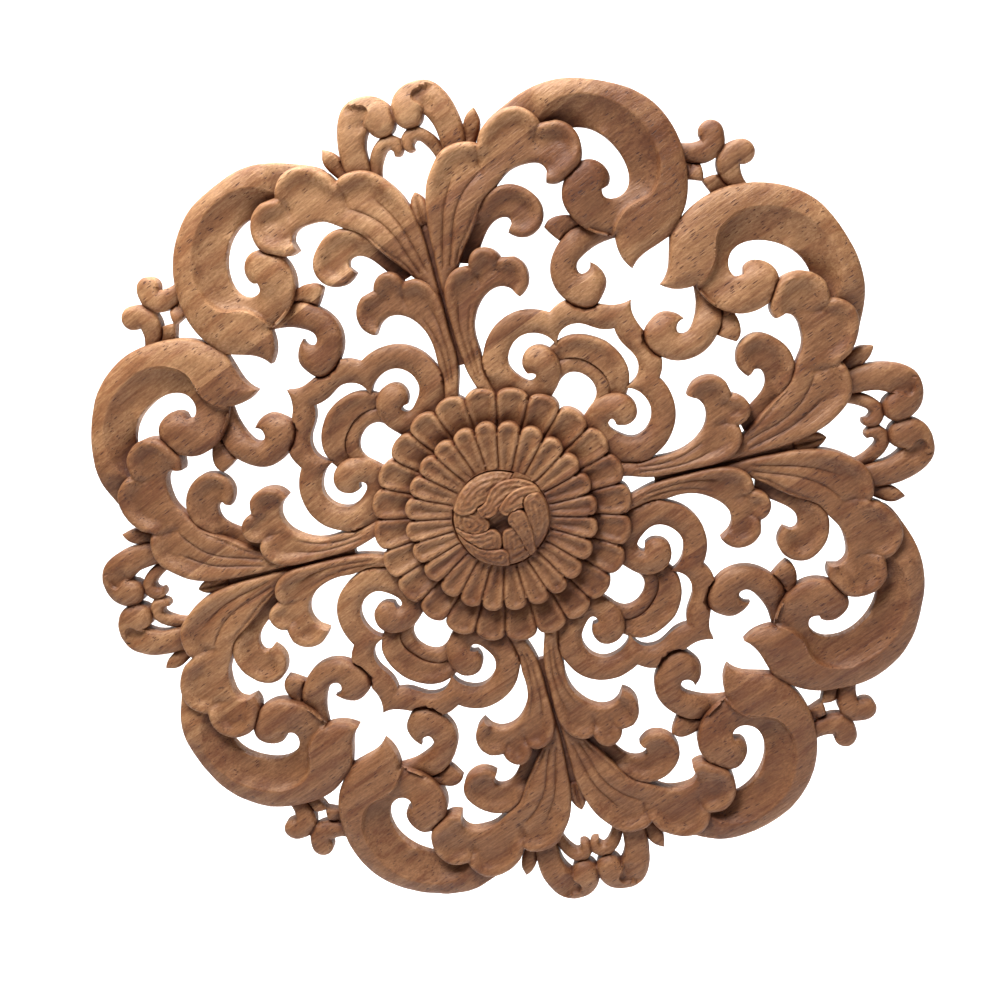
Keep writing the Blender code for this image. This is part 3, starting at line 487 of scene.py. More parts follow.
def fan():
    """Fan of three lobes on a narrow stem, over the crescent, the crook and the inner leaf."""
    outer_side = np.concatenate([
        curve((0.6, 126), (0.8, 142), (1.1, 158), (1.8, 171), (4.6, 186), (8, 195), (14.5, 204),
              (20, 209.5), (30, 212.3), (41, 209.5)),
        curve((44.5, 215), (52, 220.2), (61, 222.8), (70, 221), (75, 216.3), (77.7, 210.6)),
        curve((86, 209.8), (92.5, 205.2), (96.2, 198), (96.2, 190), (94.4, 185.3), (88, 180.5),
              (80, 177), (73.4, 178.6))])
    hole_side = curve((74.9, 184.5), (72, 189.4), (64, 191.4), (54, 190), (44, 183.8), (37, 180),
                      (30, 170.5), (21, 158), (13, 147), (8, 138), (6, 126))
    outline = joined(outer_side, hole_side)
    grooves = [curve((5, 149), (8.6, 164), (14.3, 181.2), (20, 191), (26, 200)),
               curve((9, 149), (12, 157.3), (17.7, 173.2), (27, 186), (36, 192.5), (43, 196)),
               curve((13, 150), (15.5, 155), (23.4, 165), (31, 175.5), (38, 183))]
    creases = [curve((41, 209.5), (38.8, 202), (39.2, 194), (42, 188)),
               curve((77.7, 210.6), (73.5, 206), (72.3, 199.5), (75.5, 193))]

    def height(p, edge):
        swell = rise(p, (8, 144), (34, 196), 10.0, FAN_HEIGHT) + dome(p, (86, 189), 9, 1.4)
        lobes = 0.3 + 0.7 * ease((p[:, 1] - 172) / 24)
        outer = beside(p, outer_side)
        return (swell - rolled(outer, 2.8, 2.6) - lobes * dished(outer, 3, 6.5, 3.4)
                - rolled(beside(p, hole_side), 5, 2.2)
                - grooved(p, grooves) - grooved(p, creases, CREASE_WIDTH, CREASE_DEPTH))
    return Member(outline, height, grooves + creases)


def inner_fan():
    """Smaller fan of three lobes that springs from under the flower, over the foot of the fan."""
    outer_side = np.concatenate([
        curve((8.5, 66), (6, 76), (2.2, 89), (1.2, 97), (1.0, 112), (0.9, 127), (3.2, 138),
              (9.4, 145.2), (18.8, 146.3)),
        curve((21, 150.5), (24, 153.3), (28, 154.4), (32, 153.4), (37.8, 146.2)),
        curve((45, 144.5), (50.8, 136.5), (50, 127.5), (43.4, 121.2))])
    hole_side = curve((40, 126.3), (34, 129.7), (26, 128.6), (18.5, 122), (13.5, 112), (12.6, 102),
                      (12.9, 96), (12.2, 90), (12.8, 82), (16, 70))
    outline = joined(outer_side, hole_side)
    grooves = [curve((7.4, 82), (5.4, 100), (6, 116), (10.5, 132)),
               curve((10, 84), (8.8, 102), (11.6, 116), (18, 129))]
    creases = [curve((18.8, 146.3), (21.6, 141), (22, 135), (20, 128)),
               curve((37.8, 146.2), (33.4, 141.5), (30, 134))]

    def height(p, edge):
        swell = rise(p, (9, 80), (22, 138), 10.4, INNER_FAN_HEIGHT)
        lobes = 0.3 + 0.7 * ease((p[:, 1] - 108) / 20)
        outer = beside(p, outer_side)
        return (swell - rolled(outer, 2.6, 2.4) - lobes * dished(outer, 2.8, 5.6, 3.0)
                - rolled(beside(p, hole_side), 3.6, 2.0)
                - grooved(p, grooves) - grooved(p, creases, CREASE_WIDTH, CREASE_DEPTH))
    return Member(outline, height, grooves + creases)


def polar(radius, angle):
    """The point at a radius and an angle around the flower's centre."""
    return radius * cos(angle), radius * sin(angle)


def petal_ring(tip, notch, foot, height, fall):
    """Ring of spoon-shaped petals, each with a raised rim, parted by grooves."""
    half = pi / PETALS
    outline = []
    partings = []
    for k in range(PETALS):
        middle = radians(PETAL_TURN) + 2 * pi * k / PETALS
        for turn in np.linspace(-pi / 2, pi / 2, PETAL_POINTS + 1)[:-1]:
            outline.append(polar(notch + (tip - notch) * cos(turn), middle + sin(turn) * half))
        turn = middle - half
        partings.append(np.array([polar(notch - 0.5, turn), polar(foot + 0.5, turn)]))

    def surface(p, edge):
        radius = np.hypot(*p.T)
        turn = (np.arctan2(p[:, 1], p[:, 0]) - radians(PETAL_TURN)) / (2 * half)
        aside = (0.5 - np.abs(turn - np.round(turn))) * 2 * half * radius
        rim = np.minimum(edge, aside)
        slope = fall * (1 - ease((radius - foot) / (tip - 6 - foot)))
        return (height - slope - rolled(edge, 2.6, 2.2) - bevelled(aside, 1.1, 1.4)
                - dished(rim, 2.2, 3.2, 1.8))
    return Member(np.array(outline), surface, partings, repeats=False)


def heart_lobe(top, tip, *runs):
    """Comma-shaped lobe of the heart: highest at its tip, its round end, and falling away from it."""
    outline = np.concatenate([np.array(run, float) for run in runs])

    def height(p, edge):
        stroke = STROKE_DEPTH * np.sin(2 * pi * edge / STROKE_SPACING)
        tail = LOBE_FALL * ease(np.hypot(*(p - tip).T) / LOBE_LENGTH)
        from_rim = HEART_RADIUS - np.hypot(*p.T)
        torn = ROUGH_HEART * unevenness(p, TORN_GRAIN, layer=top)
        return (top - tail - rolled(edge, 1.8, 0.9) - rolled(from_rim, HEART_ROUND, HEART_DROP)
                + stroke + torn)
    return Member(outline, height, repeats=False)


def heart_rim(start, end):
    """Stretch of the heart's round rim between two angles in degrees."""
    count = int(abs(end - start) / 5) + 1
    return [polar(HEART_RADIUS, radians(start + (end - start) * k / count)) for k in range(count + 1)]


def heart_lobes():
    """The nine lobes that swirl around the pit, each over those before it."""
    west = heart_lobe(
        17.4, (-10, 1), heart_rim(200, 152),
        curve((-20, 12), (-12, 8), (-8, 2.3), (-6.7, -0.6), (-7.5, -3.4), (-12, -8)))
    south = heart_lobe(
        18.2, (3, -11), heart_rim(260, 330), [(16, -4)],
        curve((6.5, -4), (3.9, -6.7), (0.5, -7.4), (-1.4, -9.8), (-2.2, -14)))
    north_west = heart_lobe(
        18.2, (-17, 12), heart_rim(60, 157),
        curve((-24.5, 9.5), (-20, 7.3), (-16.5, 7.2), (-13, 8.2), (-11, 10)), [(-4, 12), (8, 18)])
    north = heart_lobe(
        18.9, (-7, 8), heart_rim(28, 34),
        curve((20.5, 18.3), (14.6, 21.2), (7, 21.8), (1.3, 20.2), (-2.9, 17), (-5.8, 12.6), (-11.6, 9.3)),
        curve((-11.6, 9.3), (-11.3, 5.8), (-9, 3.2), (-5, 2.4), (-1.7, 3.9), (0.3, 6.5)),
        [(8, 10), (20, 12)])
    north_east = heart_lobe(
        19.5, (5, 7), heart_rim(10, 32),
        curve((22.7, 15), (17, 15.8), (10.2, 14.4), (4.6, 10.8), (0.4, 6.4)),
        curve((0.4, 6.4), (1.2, 3), (4, 1.1), (7.5, 1.7), (11, 3.2), (14, 3.5)), [(22, 2)])
    east = heart_lobe(
        19.2, (21, 5), heart_rim(-64, 12),
        curve((25.5, 10.4), (21, 11), (17.4, 9.8), (15.2, 7), (14.8, 3.6), (14.4, -6), (12, -18)))
    south_west = heart_lobe(
        18.2, (-8, -11), heart_rim(225, 176), curve((-23, -2.6), (-16, -5.4), (-9.7, -5.2)),
        curve((-9.7, -5.2), (-6, -5), (-3.2, -7.5), (-2, -11), (-3, -15), (-6, -19)))
    south_end = heart_lobe(
        18.8, (-7, -23), heart_rim(266, 183),
        curve((-25, -6), (-19, -12), (-12, -16.3), (-6, -17.2), (-2.5, -18), (-0.3, -21.5)))
    south_east = heart_lobe(
        20.0, (10, -3), heart_rim(295, 305),
        curve((16, -19.5), (16.6, -12), (15.7, -5), (14.5, 0.8), (12.3, 2.9), (9, 3.1), (6, 2),
              (4.2, -0.5), (4, -3.8)),
        curve((4, -3.8), (6.4, -8), (8.6, -14), (10, -20)))
    return [west, south, north_west, north, north_east, east, south_west, south_end, south_east]


def disc():
    """Round base of the heart, seen only in the pit between the lobes."""
    outline = np.array([polar(HEART_RADIUS + 0.8, 2 * pi * k / 60) for k in range(60)])

    def height(p, edge):
        return DISC_HEIGHT - PIT_DEPTH * ease(1 - np.hypot(*(p - PIT).T) / PIT_RADIUS)
    return Member(outline, height, repeats=False)


def all_members():
    """Every member, each one over those before it."""
    return [axis_rib(), bract(), arch(lip=True), arch(lip=False), top_bud(), side_bud(),
            tiny_bud(), small_curl(), crook(), outer_scroll(), cloud_frame(), s_scroll(),
            crescent(), inner_leaf(), fan(), inner_fan(),
            petal_ring(OUTER_TIP, OUTER_NOTCH, INNER_NOTCH, OUTER_PETAL_HEIGHT, OUTER_FALL),
            petal_ring(INNER_TIP, INNER_NOTCH, HEART_RADIUS, INNER_PETAL_HEIGHT, INNER_FALL),
            disc()] + heart_lobes()


def folded(points):
    """Points moved into the octant where the ring is drawn, and off the lines that bound it."""
    return np.sort(np.abs(points), axis=1) + (OFF_AXIS, 2 * OFF_AXIS)


def copies(member, path):
    """The path in each of the eight octants, or as it is for a part of the flower."""
    if not member.repeats:
        return [path]
    return [path[:, order] * (side, end)
            for order in ((0, 1), (1, 0)) for side in (1, -1) for end in (1, -1)]


def top_members(points, members):
    """Index of the uppermost member at each point, or VOID."""
    labels = np.full(len(points), VOID)
    octant = folded(points)
    for index, member in enumerate(members):
        labels[contains(octant if member.repeats else points, member.outline)] = index
    return labels


def triangulate(points, edges):
    """Triangles over all the points that keep every edge; crossing edges gain a point."""
    out = delaunay_2d_cdt([Vector(p) for p in points], edges, [], 0, 1e-5)
    points = np.array([tuple(p) for p in out[0]])
    triangles = np.array([tuple(face) for face in out[2]])
    corners = points[triangles]
    first, second = corners[:, 1] - corners[:, 0], corners[:, 2] - corners[:, 0]
    area = first[:, 0] * second[:, 1] - first[:, 1] * second[:, 0]
    triangles[area < 0] = triangles[area < 0][:, ::-1]
    return points, triangles


def edge_sides(triangles):
    """The triangle on the left of each directed edge."""
    sides = {}
    for index, (a, b, c) in enumerate(triangles.tolist()):
        sides[a, b] = sides[b, c] = sides[c, a] = index
    return sides


def visible_edges(members):
    """Points and edges of the drawing where one member, or the void, gives way to another."""
    points = []
    edges = []
    for member in members:
        for path in copies(member, member.outline):
            start, count = len(points), len(path)
            edges += [(start + i, start + (i + 1) % count) for i in range(count)]
            points += list(path)
    points, triangles = triangulate(points, edges)
    labels = top_members(points[triangles].mean(axis=1), members)
    sides = edge_sides(triangles)
    parting = [(a, b) for (a, b), left in sides.items()
               if a < b and (b, a) in sides and labels[left] != labels[sides[b, a]]]
    return divided(*welded(points, parting))


def welded(points, edges):
    """The points of the edges, with those closer than WELD made one."""
    used = sorted({end for edge in edges for end in edge})
    tree = KDTree(len(used))
    for index, point in enumerate(used):
        tree.insert((*points[point], 0), index)
    tree.balance()
    kept = {}
    for index, point in enumerate(used):
        near = [other for _, other, _ in tree.find_range((*points[point], 0), WELD)
                if other in kept and kept[other] == other]
        kept[index] = min(near) if near else index
    number = {point: kept[index] for index, point in enumerate(used)}
    order = sorted(set(kept.values()))
    place = {old: new for new, old in enumerate(order)}
    edges = {tuple(sorted((place[number[a]], place[number[b]]))) for a, b in edges}
    return points[[used[old] for old in order]], sorted(edge for edge in edges if edge[0] != edge[1])


def divided(points, edges):
    """The edges, with each long one cut into equal parts."""
    points = list(points)
    parts = []
    for a, b in edges:
        count = int(np.hypot(*(points[a] - points[b])) / BORDER_STEP) + 1
        chain = [a] + list(range(len(points), len(points) + count - 1)) + [b]
        points += [points[a] + (points[b] - points[a]) * k / count for k in range(1, count)]
        parts += list(zip(chain, chain[1:]))
    return np.array(points), parts


def offset_row(path, inset, closed):
    """Points beside a path, to its left."""
    path = even(path, ROW_STEP, closed)
    if closed:
        tangents = np.roll(path, -1, axis=0) - np.roll(path, 1, axis=0)
    else:
        tangents = np.gradient(path, axis=0)
    return path + tangents[:, ::-1] * (-1, 1) / np.hypot(*tangents.T)[:, None] * inset


def inner_rows(member):
    """Points just inside the outline and beside the grooves, and the least gap around each."""
    x, y = member.outline.T
    turn = np.sign(x @ np.roll(y, -1) - y @ np.roll(x, -1))
    rows = [(offset_row(member.outline, inset * turn, closed=True), gap, 0.9 * inset)
            for inset, gap in zip(ROWS, ROW_GAPS)]
    rows += [(offset_row(groove, inset, closed=False), GROOVE_GAP, GROOVE_GAP)
             for groove in member.grooves for inset in GROOVE_ROWS]
    spots = np.concatenate([row for row, _, _ in rows])
    gaps = np.concatenate([np.full(len(row), gap) for row, gap, _ in rows])
    margins = np.concatenate([np.full(len(row), margin) for row, _, margin in rows])
    clear = contains(spots, member.outline) & (distance(spots, member.outline) > margins)
    return spots[clear], gaps[clear]


def grid_points(spacing):
    """Even triangular grid over the whole drawing."""
    rows = int(REACH / (spacing * sqrt(3) / 2))
    columns = int(REACH / spacing) + 1
    return np.array([((i + 0.5 * (j % 2)) * spacing, j * spacing * sqrt(3) / 2)
                     for j in range(-rows, rows + 1) for i in range(-columns, columns + 1)])


class Scatter:
    """Points taken so far, kept in square cells so that near ones are found fast."""
    CELL = 1.5  # more than the widest gap

    def __init__(self):
        self.cells = {}

    def add(self, points, gaps):
        """Takes those of the points that keep their gap to each other and to all taken before."""
        taken = []
        for (x, y), gap in zip(points.tolist(), gaps):
            i, j = int(x // self.CELL), int(y // self.CELL)
            near = (spot for di in (-1, 0, 1) for dj in (-1, 0, 1)
                    for spot in self.cells.get((i + di, j + dj), ()))
            if all((x - u) ** 2 + (y - v) ** 2 > gap * gap for u, v in near):
                self.cells.setdefault((i, j), []).append((x, y))
                taken.append((x, y))
        return taken


def plan(members):
    """Triangles of the drawing, with the member that each shows."""
    points, edges = visible_edges(members)
    scatter = Scatter()
    scatter.add(points, np.zeros(len(points)))
    spots, gaps, owners = [], [], []
    for index, member in enumerate(members):
        row, gap = inner_rows(member)
        for path in copies(member, row):
            spots.append(path)
            gaps.append(gap)
            owners.append(np.full(len(path), index))
    spots, gaps, owners = np.concatenate(spots), np.concatenate(gaps), np.concatenate(owners)
    visible = top_members(spots, members) == owners
    chosen = scatter.add(spots[visible], gaps[visible])
    for spacing, inner, outer in ((HEART_GRID, 0, HEART_RADIUS),
                                  (FLOWER_GRID, HEART_RADIUS, OUTER_TIP),
                                  (GRID, OUTER_TIP, REACH * 2)):
        grid = grid_points(spacing)
        radius = np.hypot(*grid.T)
        grid = grid[(radius >= inner) & (radius < outer)]
        grid = grid[top_members(grid, members) != VOID]
        chosen += scatter.add(grid, np.full(len(grid), GRID_GAP * spacing))
    surround = [(x, y) for x in (-REACH, REACH) for y in (-REACH, REACH)]
    points = np.concatenate([points, np.array(chosen + surround)])
    points, triangles = triangulate(points, edges)
    labels = top_members(points[triangles].mean(axis=1), members)
    return points, triangles, labels


def corner_heights(points, triangles, labels, members):
    """Height over the back of each member at each corner of its triangles."""
    heights = [{} for _ in points]
    octant = folded(points)
    for index, member in enumerate(members):
        corners = np.unique(triangles[labels == index])
        place = (octant if member.repeats else points)[corners]
        surface = member.height(place, distance(place, member.outline))
        surface += unevenness(points[corners], GOUGE_STROKE, index) * UNEVEN_SURFACE
        for corner, height in zip(corners, surface):
            heights[corner][index] = float(height)
    for levels in heights:
        ceiling = THICKNESS
        for index in sorted(levels, reverse=True):
            levels[index] = min(levels[index], ceiling)
            ceiling = levels[index] - LEAST_STEP
    return heights


def unevenness(points, size, layer):
    """Smooth irregular values around 0, that change over about the given size."""
    return np.array([noise.noise((x / size, y / size, layer * LAYER_STEP)) for x, y in points.tolist()])


def cut_by_hand(points):
    """The points of the drawing moved a little, so that no repeat is quite like another."""
    moved = points + UNEVEN_OUTLINE * np.stack(
        [unevenness(points, OUTLINE_WAVE, layer) for layer in (-1, -2)], axis=1)
    limit = max(CAD_BOX[1][0], CAD_BOX[1][2]) / MM
    return np.clip(moved, -limit, limit)


class Solid:
    """Vertices and faces of the carving, each vertex made once."""

    def __init__(self, points):
        self.points = points.tolist()
        self.numbers = {}
        self.vertices = []
        self.faces = []

    def vertex(self, corner, height):
        """Number of the vertex at a height over a corner of the plan."""
        key = corner, height
        if key not in self.numbers:
            self.numbers[key] = len(self.vertices)
            x, y = self.points[corner]
            self.vertices.append((x * MM, -height * MM, y * MM))
        return self.numbers[key]

    def wall(self, a, b, levels_a, levels_b):
        """Upright face below the edge from a to b, through every level at its two ends."""
        while len(levels_a) > 1 or len(levels_b) > 1:
            lift_a = len(levels_b) == 1 or (len(levels_a) > 1 and levels_a[1] <= levels_b[1])
            upper = (a, levels_a[1]) if lift_a else (b, levels_b[1])
            self.faces.append((self.vertex(a, levels_a[0]), self.vertex(b, levels_b[0]),
                               self.vertex(*upper)))
            if lift_a:
                levels_a = levels_a[1:]
            else:
                levels_b = levels_b[1:]


def back_triangles(points, rim):
    """Triangles of the flat back: those that an odd number of rim edges parts from outside."""
    corners = sorted({end for edge in rim for end in edge})
    number = {corner: i for i, corner in enumerate(corners)}
    edges = [(number[a], number[b]) for a, b in rim]
    _, triangles = triangulate(points[corners], edges)
    sides = edge_sides(triangles)
    walls = {frozenset(edge) for edge in edges}
    inside = {}
    todo = []
    for edge, index in sides.items():
        if edge[::-1] not in sides:
            todo.append((index, frozenset(edge) in walls))
    while todo:
        index, state = todo.pop()
        if index in inside:
            continue
        inside[index] = state
        a, b, c = triangles[index].tolist()
        for edge in ((a, b), (b, c), (c, a)):
            other = sides.get(edge[::-1])
            if other is not None:
                todo.append((other, state != (frozenset(edge) in walls)))
    return [[corners[i] for i in triangles[index]] for index, state in inside.items() if state]


def carved_solid(members):
    """The whole carving as one closed body."""
    points, triangles, labels = plan(members)
    heights = corner_heights(points, triangles, labels, members)
    sides = edge_sides(triangles)
    open_corners = set(triangles[labels == VOID].ravel().tolist())
    solid = Solid(cut_by_hand(points))
    rim = []

    def levels(corner, low, high):
        at_corner = sorted(set(heights[corner].values()) | ({0.0} if corner in open_corners else set()))
        return [level for level in at_corner if low <= level <= high]

    labels = labels.tolist()
    for triangle, label in zip(triangles.tolist(), labels):
        if label != VOID:
            solid.faces.append([solid.vertex(corner, heights[corner][label]) for corner in triangle])
    for (a, b), left in sides.items():
        label = labels[left]
        right = sides.get((b, a))
        other = VOID if right is None else labels[right]
        if label > other:
            low_a = 0.0 if other == VOID else heights[a][other]
            low_b = 0.0 if other == VOID else heights[b][other]
            solid.wall(a, b, levels(a, low_a, heights[a][label]), levels(b, low_b, heights[b][label]))
            if other == VOID:
                rim.append((a, b))
    for a, b, c in back_triangles(points, rim):
        solid.faces.append([solid.vertex(corner, 0.0) for corner in (c, b, a)])
    return solid


def placed(name, data, place=(0, 0, 0)):
    """A new object of the scene, with its data."""
    thing = bpy.data.objects.new(name, data)
    thing.location = place
    bpy.context.scene.collection.objects.link(thing)
    return thing


def carving():
    """The whole rosette as one piece."""
    solid = carved_solid(all_members())
    mesh = bpy.data.meshes.new("carving")
    mesh.from_pydata(solid.vertices, [], solid.faces)
    mesh.shade_smooth()
    mesh.set_sharp_from_angle(angle=SHARP)
    return placed("carved_rosette", mesh)


def new_material(name):
    """A material, its node tree and its shader."""
    material = bpy.data.materials.new(name)
    material.use_nodes = True
    tree = material.node_tree
    return material, tree, tree.nodes["Principled BSDF"]


def linked(tree, kind, inputs=(), **settings):
    """A new node with its settings, values and links given by socket name or number."""
    node = tree.nodes.new(kind)
    for name, value in settings.items():
        setattr(node, name, value)
    for key, value in dict(inputs).items():
        socket = node.inputs[key]
        if isinstance(value, bpy.types.NodeSocket):
            tree.links.new(value, socket)
        else:
            socket.default_value = value
    return node


def ramp(tree, factor, *stops):
    """A colour ramp through (position, colour) stops."""
    node = linked(tree, "ShaderNodeValToRGB", {0: factor})
    elements = node.color_ramp.elements
    elements[0].position, elements[0].color = stops[0][0], (*stops[0][1], 1)
    elements[1].position, elements[1].color = stops[-1][0], (*stops[-1][1], 1)
    for position, colour in stops[1:-1]:
        elements.new(position).color = (*colour, 1)
    return node.outputs[0]


def toned(tree, colour, tone, factor=1.0):
    """The colour multiplied by a tone."""
    return linked(tree, "ShaderNodeMix", {0: factor, 6: colour, 7: tone},
                  data_type="RGBA", blend_type="MULTIPLY").outputs[2]


def math(tree, operation, *values):
    """Result of a mathematical operation on sockets or numbers."""
    return linked(tree, "ShaderNodeMath", dict(enumerate(values)), operation=operation).outputs[0]


def mapped(tree, *values):
    """A value carried over from one range to another, each given by its two ends."""
    return linked(tree, "ShaderNodeMapRange", dict(enumerate(values))).outputs[0]


# Wood. A pair is the length of a feature along the grain and its width across it, in metres
GRAIN_ANGLE = radians(22)   # of the grain to +X, as the carving hangs
PLANK = 0.083               # width of the planks that the board was glued up from
DRIFT = 0.30, 0.06          # slow change of tone
BANDS = 0.11, 0.0075        # growth bands
FIBRES = 0.022, 0.0013
HATCH = 0.0026, 0.0008      # short marks of the tools
PATCHES = 0.05, 0.014       # where pores are crowded
PORE_CELL = 0.0072, 0.0010  # cell that each pore lies in
PORE_RADIUS = 0.30          # longest pore, in cells
# painted shade: how far ambient occlusion looks for the recesses whose colour it darkens
RECESS_SHADE_REACH = 0.008              # reach of the darkening in recesses
BUMP = 0.0004               # height of fibres, tool marks and pores

# Colours, and the tones that multiply them
DARK_PLANK = (0.112, 0.042, 0.0145)
PALE_PLANK = (0.240, 0.119, 0.051)
WHITE = (1.0, 1.0, 1.0)
PORE_TONE = (0.32, 0.19, 0.12)
BAND_TONES = (0.38, (0.76, 0.64, 0.55)), (0.50, WHITE), (0.62, (1.17, 1.25, 1.32))
FIBRE_TONES = (0.36, (0.80, 0.72, 0.66)), (0.64, (1.13, 1.16, 1.19))
HATCH_TONES = (0.36, (0.82, 0.77, 0.73)), (0.64, (1.12, 1.14, 1.16))
# painted shade: a darker, redder colour in recesses, where less light reaches
RECESS_SHADE_TONES = (0.15, (0.42, 0.20, 0.09)), (0.92, WHITE)
# painted highlight on convex edges, lighter and paler, and painted shade in creases, darker
EDGE_HIGHLIGHT_AND_SHADE_TONES = (0.44, (0.82, 0.78, 0.75)), (0.50, WHITE), (0.56, (1.30, 1.38, 1.46))


def in_cells(tree, place, length, width):
    """The place, counted in cells that are stretched along the grain."""
    return linked(tree, "ShaderNodeMapping",
                  {0: place, "Scale": (1 / length, 1 / width, 1 / width)}).outputs[0]


def streaks(tree, place, cell, **inputs):
    """Noise whose features are about as long and wide as the cell."""
    return linked(tree, "ShaderNodeTexNoise",
                  {"Vector": in_cells(tree, place, *cell), "Scale": 1.0, **inputs}).outputs[0]


def planks(tree, place):
    """Tone of each plank, and a place in its own wood for every point of it."""
    across = linked(tree, "ShaderNodeSeparateXYZ", {0: place}).outputs[2]
    number = math(tree, "FLOOR", math(tree, "DIVIDE", across, PLANK))
    chance = linked(tree, "ShaderNodeTexWhiteNoise", {"W": number}, noise_dimensions="1D")
    shift = linked(tree, "ShaderNodeVectorMath", {0: place, 1: chance.outputs["Color"]}, operation="ADD")
    return chance.outputs["Value"], shift.outputs[0]


def pores(tree, place):
    """Short dark pores along the grain, crowded in some places: 1 in a pore, 0 beside it."""
    cells = linked(tree, "ShaderNodeTexVoronoi",
                   {"Vector": in_cells(tree, place, *PORE_CELL), "Scale": 1.0})
    chance = linked(tree, "ShaderNodeSeparateColor", {0: cells.outputs["Color"]}).outputs[0]
    crowd = mapped(tree, streaks(tree, place, PATCHES, Detail=2.0), 0.42, 0.66, 0.02, 0.5)
    radius = math(tree, "MULTIPLY", math(tree, "LESS_THAN", chance, crowd), PORE_RADIUS)
    return mapped(tree, math(tree, "SUBTRACT", radius, cells.outputs["Distance"]), 0.0, 0.07)


def rubberwood():
    """Bare mid-brown hardwood: glued planks, growth bands, fibres, pores and the marks of tools, with
    painted shade in recesses and painted highlights on edges.
    """
    material, tree, shader = new_material("rubberwood")
    object_place = linked(tree, "ShaderNodeTexCoord").outputs["Object"]
    grain = linked(tree, "ShaderNodeMapping", {0: object_place, "Rotation": (0, GRAIN_ANGLE, 0)})
    plank, place = planks(tree, grain.outputs[0])
    drift = streaks(tree, place, DRIFT, Detail=2.0, Distortion=0.4)
    shade = math(tree, "ADD", math(tree, "MULTIPLY", plank, 0.6), math(tree, "MULTIPLY", drift, 0.6))
    bands = streaks(tree, place, BANDS, Detail=3.0, Roughness=0.6, Distortion=0.3)
    fibres = streaks(tree, place, FIBRES, Detail=3.0, Roughness=0.7)
    hatch = streaks(tree, place, HATCH, Detail=2.0, Roughness=0.75)
    pore = pores(tree, place)
    # painted shade: ambient occlusion darkens and reddens the colour in recesses
    painted_shade_openness = linked(tree, "ShaderNodeAmbientOcclusion", {"Distance": RECESS_SHADE_REACH}, samples=8).outputs["AO"]
    # painted highlight and shade: pointiness lightens convex edges and darkens creases
    bend = linked(tree, "ShaderNodeNewGeometry").outputs["Pointiness"]
    colour = ramp(tree, shade, (0.22, DARK_PLANK), (0.95, PALE_PLANK))
    for factor, tones in ((bands, BAND_TONES), (fibres, FIBRE_TONES), (hatch, HATCH_TONES),
                          (painted_shade_openness, RECESS_SHADE_TONES), (bend, EDGE_HIGHLIGHT_AND_SHADE_TONES)):
        colour = toned(tree, colour, ramp(tree, factor, *tones))
    colour = toned(tree, colour, (*PORE_TONE, 1), pore)
    tree.links.new(colour, shader.inputs["Base Color"])
    tree.links.new(mapped(tree, fibres, 0.3, 0.7, 0.66, 0.48), shader.inputs["Roughness"])
    shader.inputs["Specular IOR Level"].default_value = 0.3
    grit = math(tree, "ADD", math(tree, "MULTIPLY", hatch, 0.6), fibres)
    relief = math(tree, "SUBTRACT", grit, pore)
    bump = linked(tree, "ShaderNodeBump", {"Height": relief, "Strength": 1.0, "Distance": BUMP})
    tree.links.new(bump.outputs[0], shader.inputs["Normal"])
    return material


# Stage: a pale floor that sweeps up into a wall, well behind the carving
FLOOR_Z = -0.55
STAGE_FRONT = -4.0
WALL_Y = 1.7
WALL_TOP = 5.0
STAGE_HALF = 6.0  # half its width
SWEEP = 0.8       # radius between floor and wall
SWEEP_FACETS = 16
STAGE_COLOUR = (0.86, 0.86, 0.86)

# Lights: place, target, size in metres and power in watts
LIGHTS = {"key": ((-0.10, -0.62, 1.38), (0, 0, 0), 0.55, 50),
          "fill": ((1.6, -1.5, 0.3), (0, 0, 0), 1.6, 1.5),
          "wall": ((0, 0.5, 2.2), (0, WALL_Y, 0.2), 2.5, 165)}
SURROUND_COLOUR, SURROUND_STRENGTH = (1.0, 0.88, 0.76), 0.13

# Camera: worked out from where the repeats of the carving lie in the photograph
LENS, SENSOR = 44.45, 36.0  # mm
DISTANCE = 0.728            # from the camera to the point it looks at
AIM = (0.0016, -0.009, 0.0099)
AZIMUTH = radians(7.64)     # to the right of the carving's own axis
ELEVATION = radians(10.63)  # above it
ROLL = radians(-15.1)       # the photograph shows the carving turned by about this angle


def pale_floor():
    """Matt material of the floor and the wall, nearly white."""
    material, _, shader = new_material("pale_floor")
    shader.inputs["Base Color"].default_value = (*STAGE_COLOUR, 1)
    shader.inputs["Roughness"].default_value = 0.9
    return material


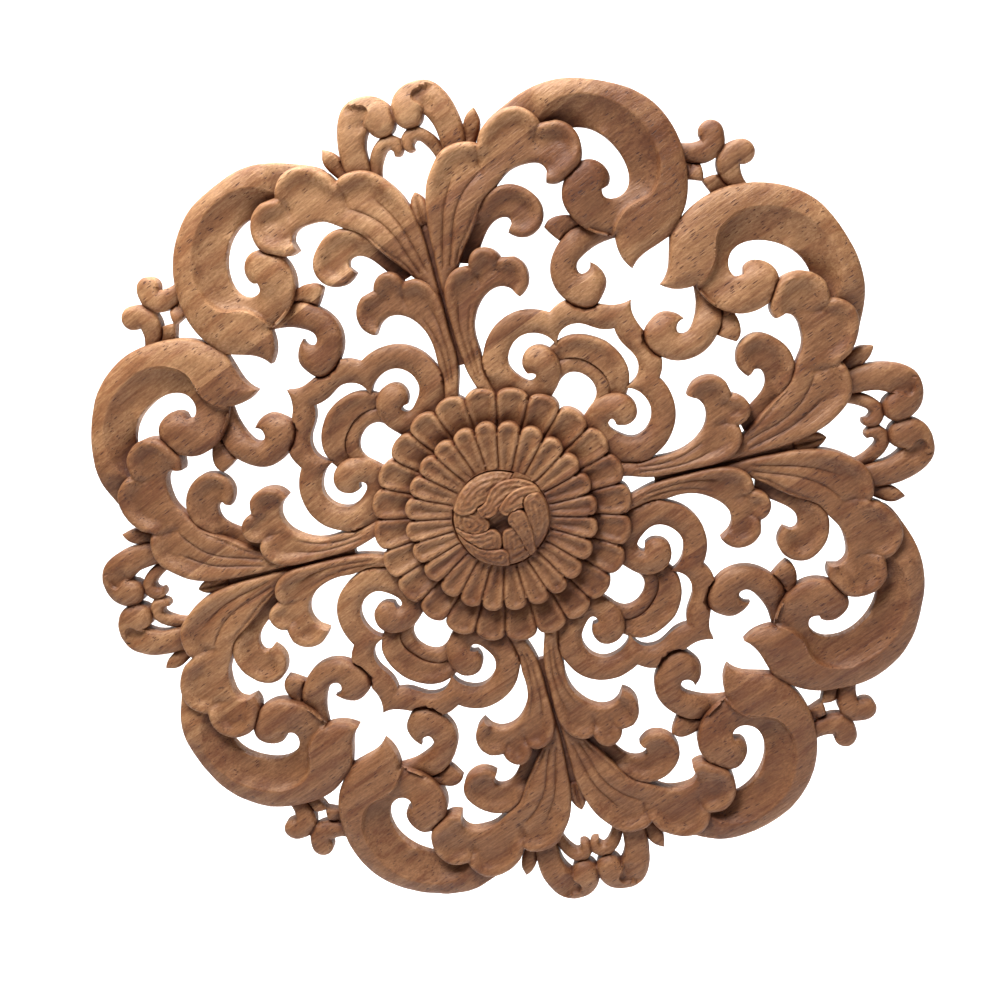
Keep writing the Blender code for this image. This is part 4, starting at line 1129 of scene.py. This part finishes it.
def stage():
    """Pale floor and wall in one sweep."""
    profile = [(STAGE_FRONT, FLOOR_Z)]
    for k in range(SWEEP_FACETS + 1):
        turn = pi / 2 * k / SWEEP_FACETS
        profile.append((WALL_Y - SWEEP + SWEEP * sin(turn), FLOOR_Z + SWEEP * (1 - cos(turn))))
    profile.append((WALL_Y, WALL_TOP))
    vertices = [(side, y, z) for y, z in profile for side in (-STAGE_HALF, STAGE_HALF)]
    faces = [(2 * i, 2 * i + 1, 2 * i + 3, 2 * i + 2) for i in range(len(profile) - 1)]
    mesh = bpy.data.meshes.new("floor")
    mesh.from_pydata(vertices, [], faces)
    mesh.shade_smooth()
    mesh.materials.append(pale_floor())
    floor = placed("floor", mesh)


def area_light(name, place, target, size, power):
    """A square light that shines on the target."""
    light = bpy.data.lights.new(name, "AREA")
    light.shape = "SQUARE"
    light.size = size
    light.energy = power
    thing = placed(name, light, place)
    thing.rotation_euler = (Vector(target) - thing.location).to_track_quat("-Z", "Y").to_euler()


def lights():
    """A soft key light from above, a weak fill, a light for the wall, and a dim warm surround."""
    for name, values in LIGHTS.items():
        area_light(name, *values)
    world = bpy.data.worlds.new("surround")
    world.use_nodes = True
    background = world.node_tree.nodes["Background"]
    background.inputs["Color"].default_value = (*SURROUND_COLOUR, 1)
    background.inputs["Strength"].default_value = SURROUND_STRENGTH
    bpy.context.scene.world = world
    bpy.context.scene.view_settings.view_transform = "Standard"


def camera():
    """The photograph's view."""
    data = bpy.data.cameras.new("camera")
    data.lens = LENS
    data.sensor_width = SENSOR
    away = Vector((sin(AZIMUTH) * cos(ELEVATION), -cos(AZIMUTH) * cos(ELEVATION), sin(ELEVATION)))
    thing = placed("camera", data, Vector(AIM) + DISTANCE * away)
    upright = (-away).to_track_quat("-Z", "Y").to_matrix().to_4x4()
    thing.rotation_euler = (upright @ Matrix.Rotation(ROLL, 4, "Z")).to_euler()
    bpy.context.scene.camera = thing


piece = carving()
piece.data.materials.append(rubberwood())
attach(piece, "root")
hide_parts(NODE)
stage()
lights()
camera()
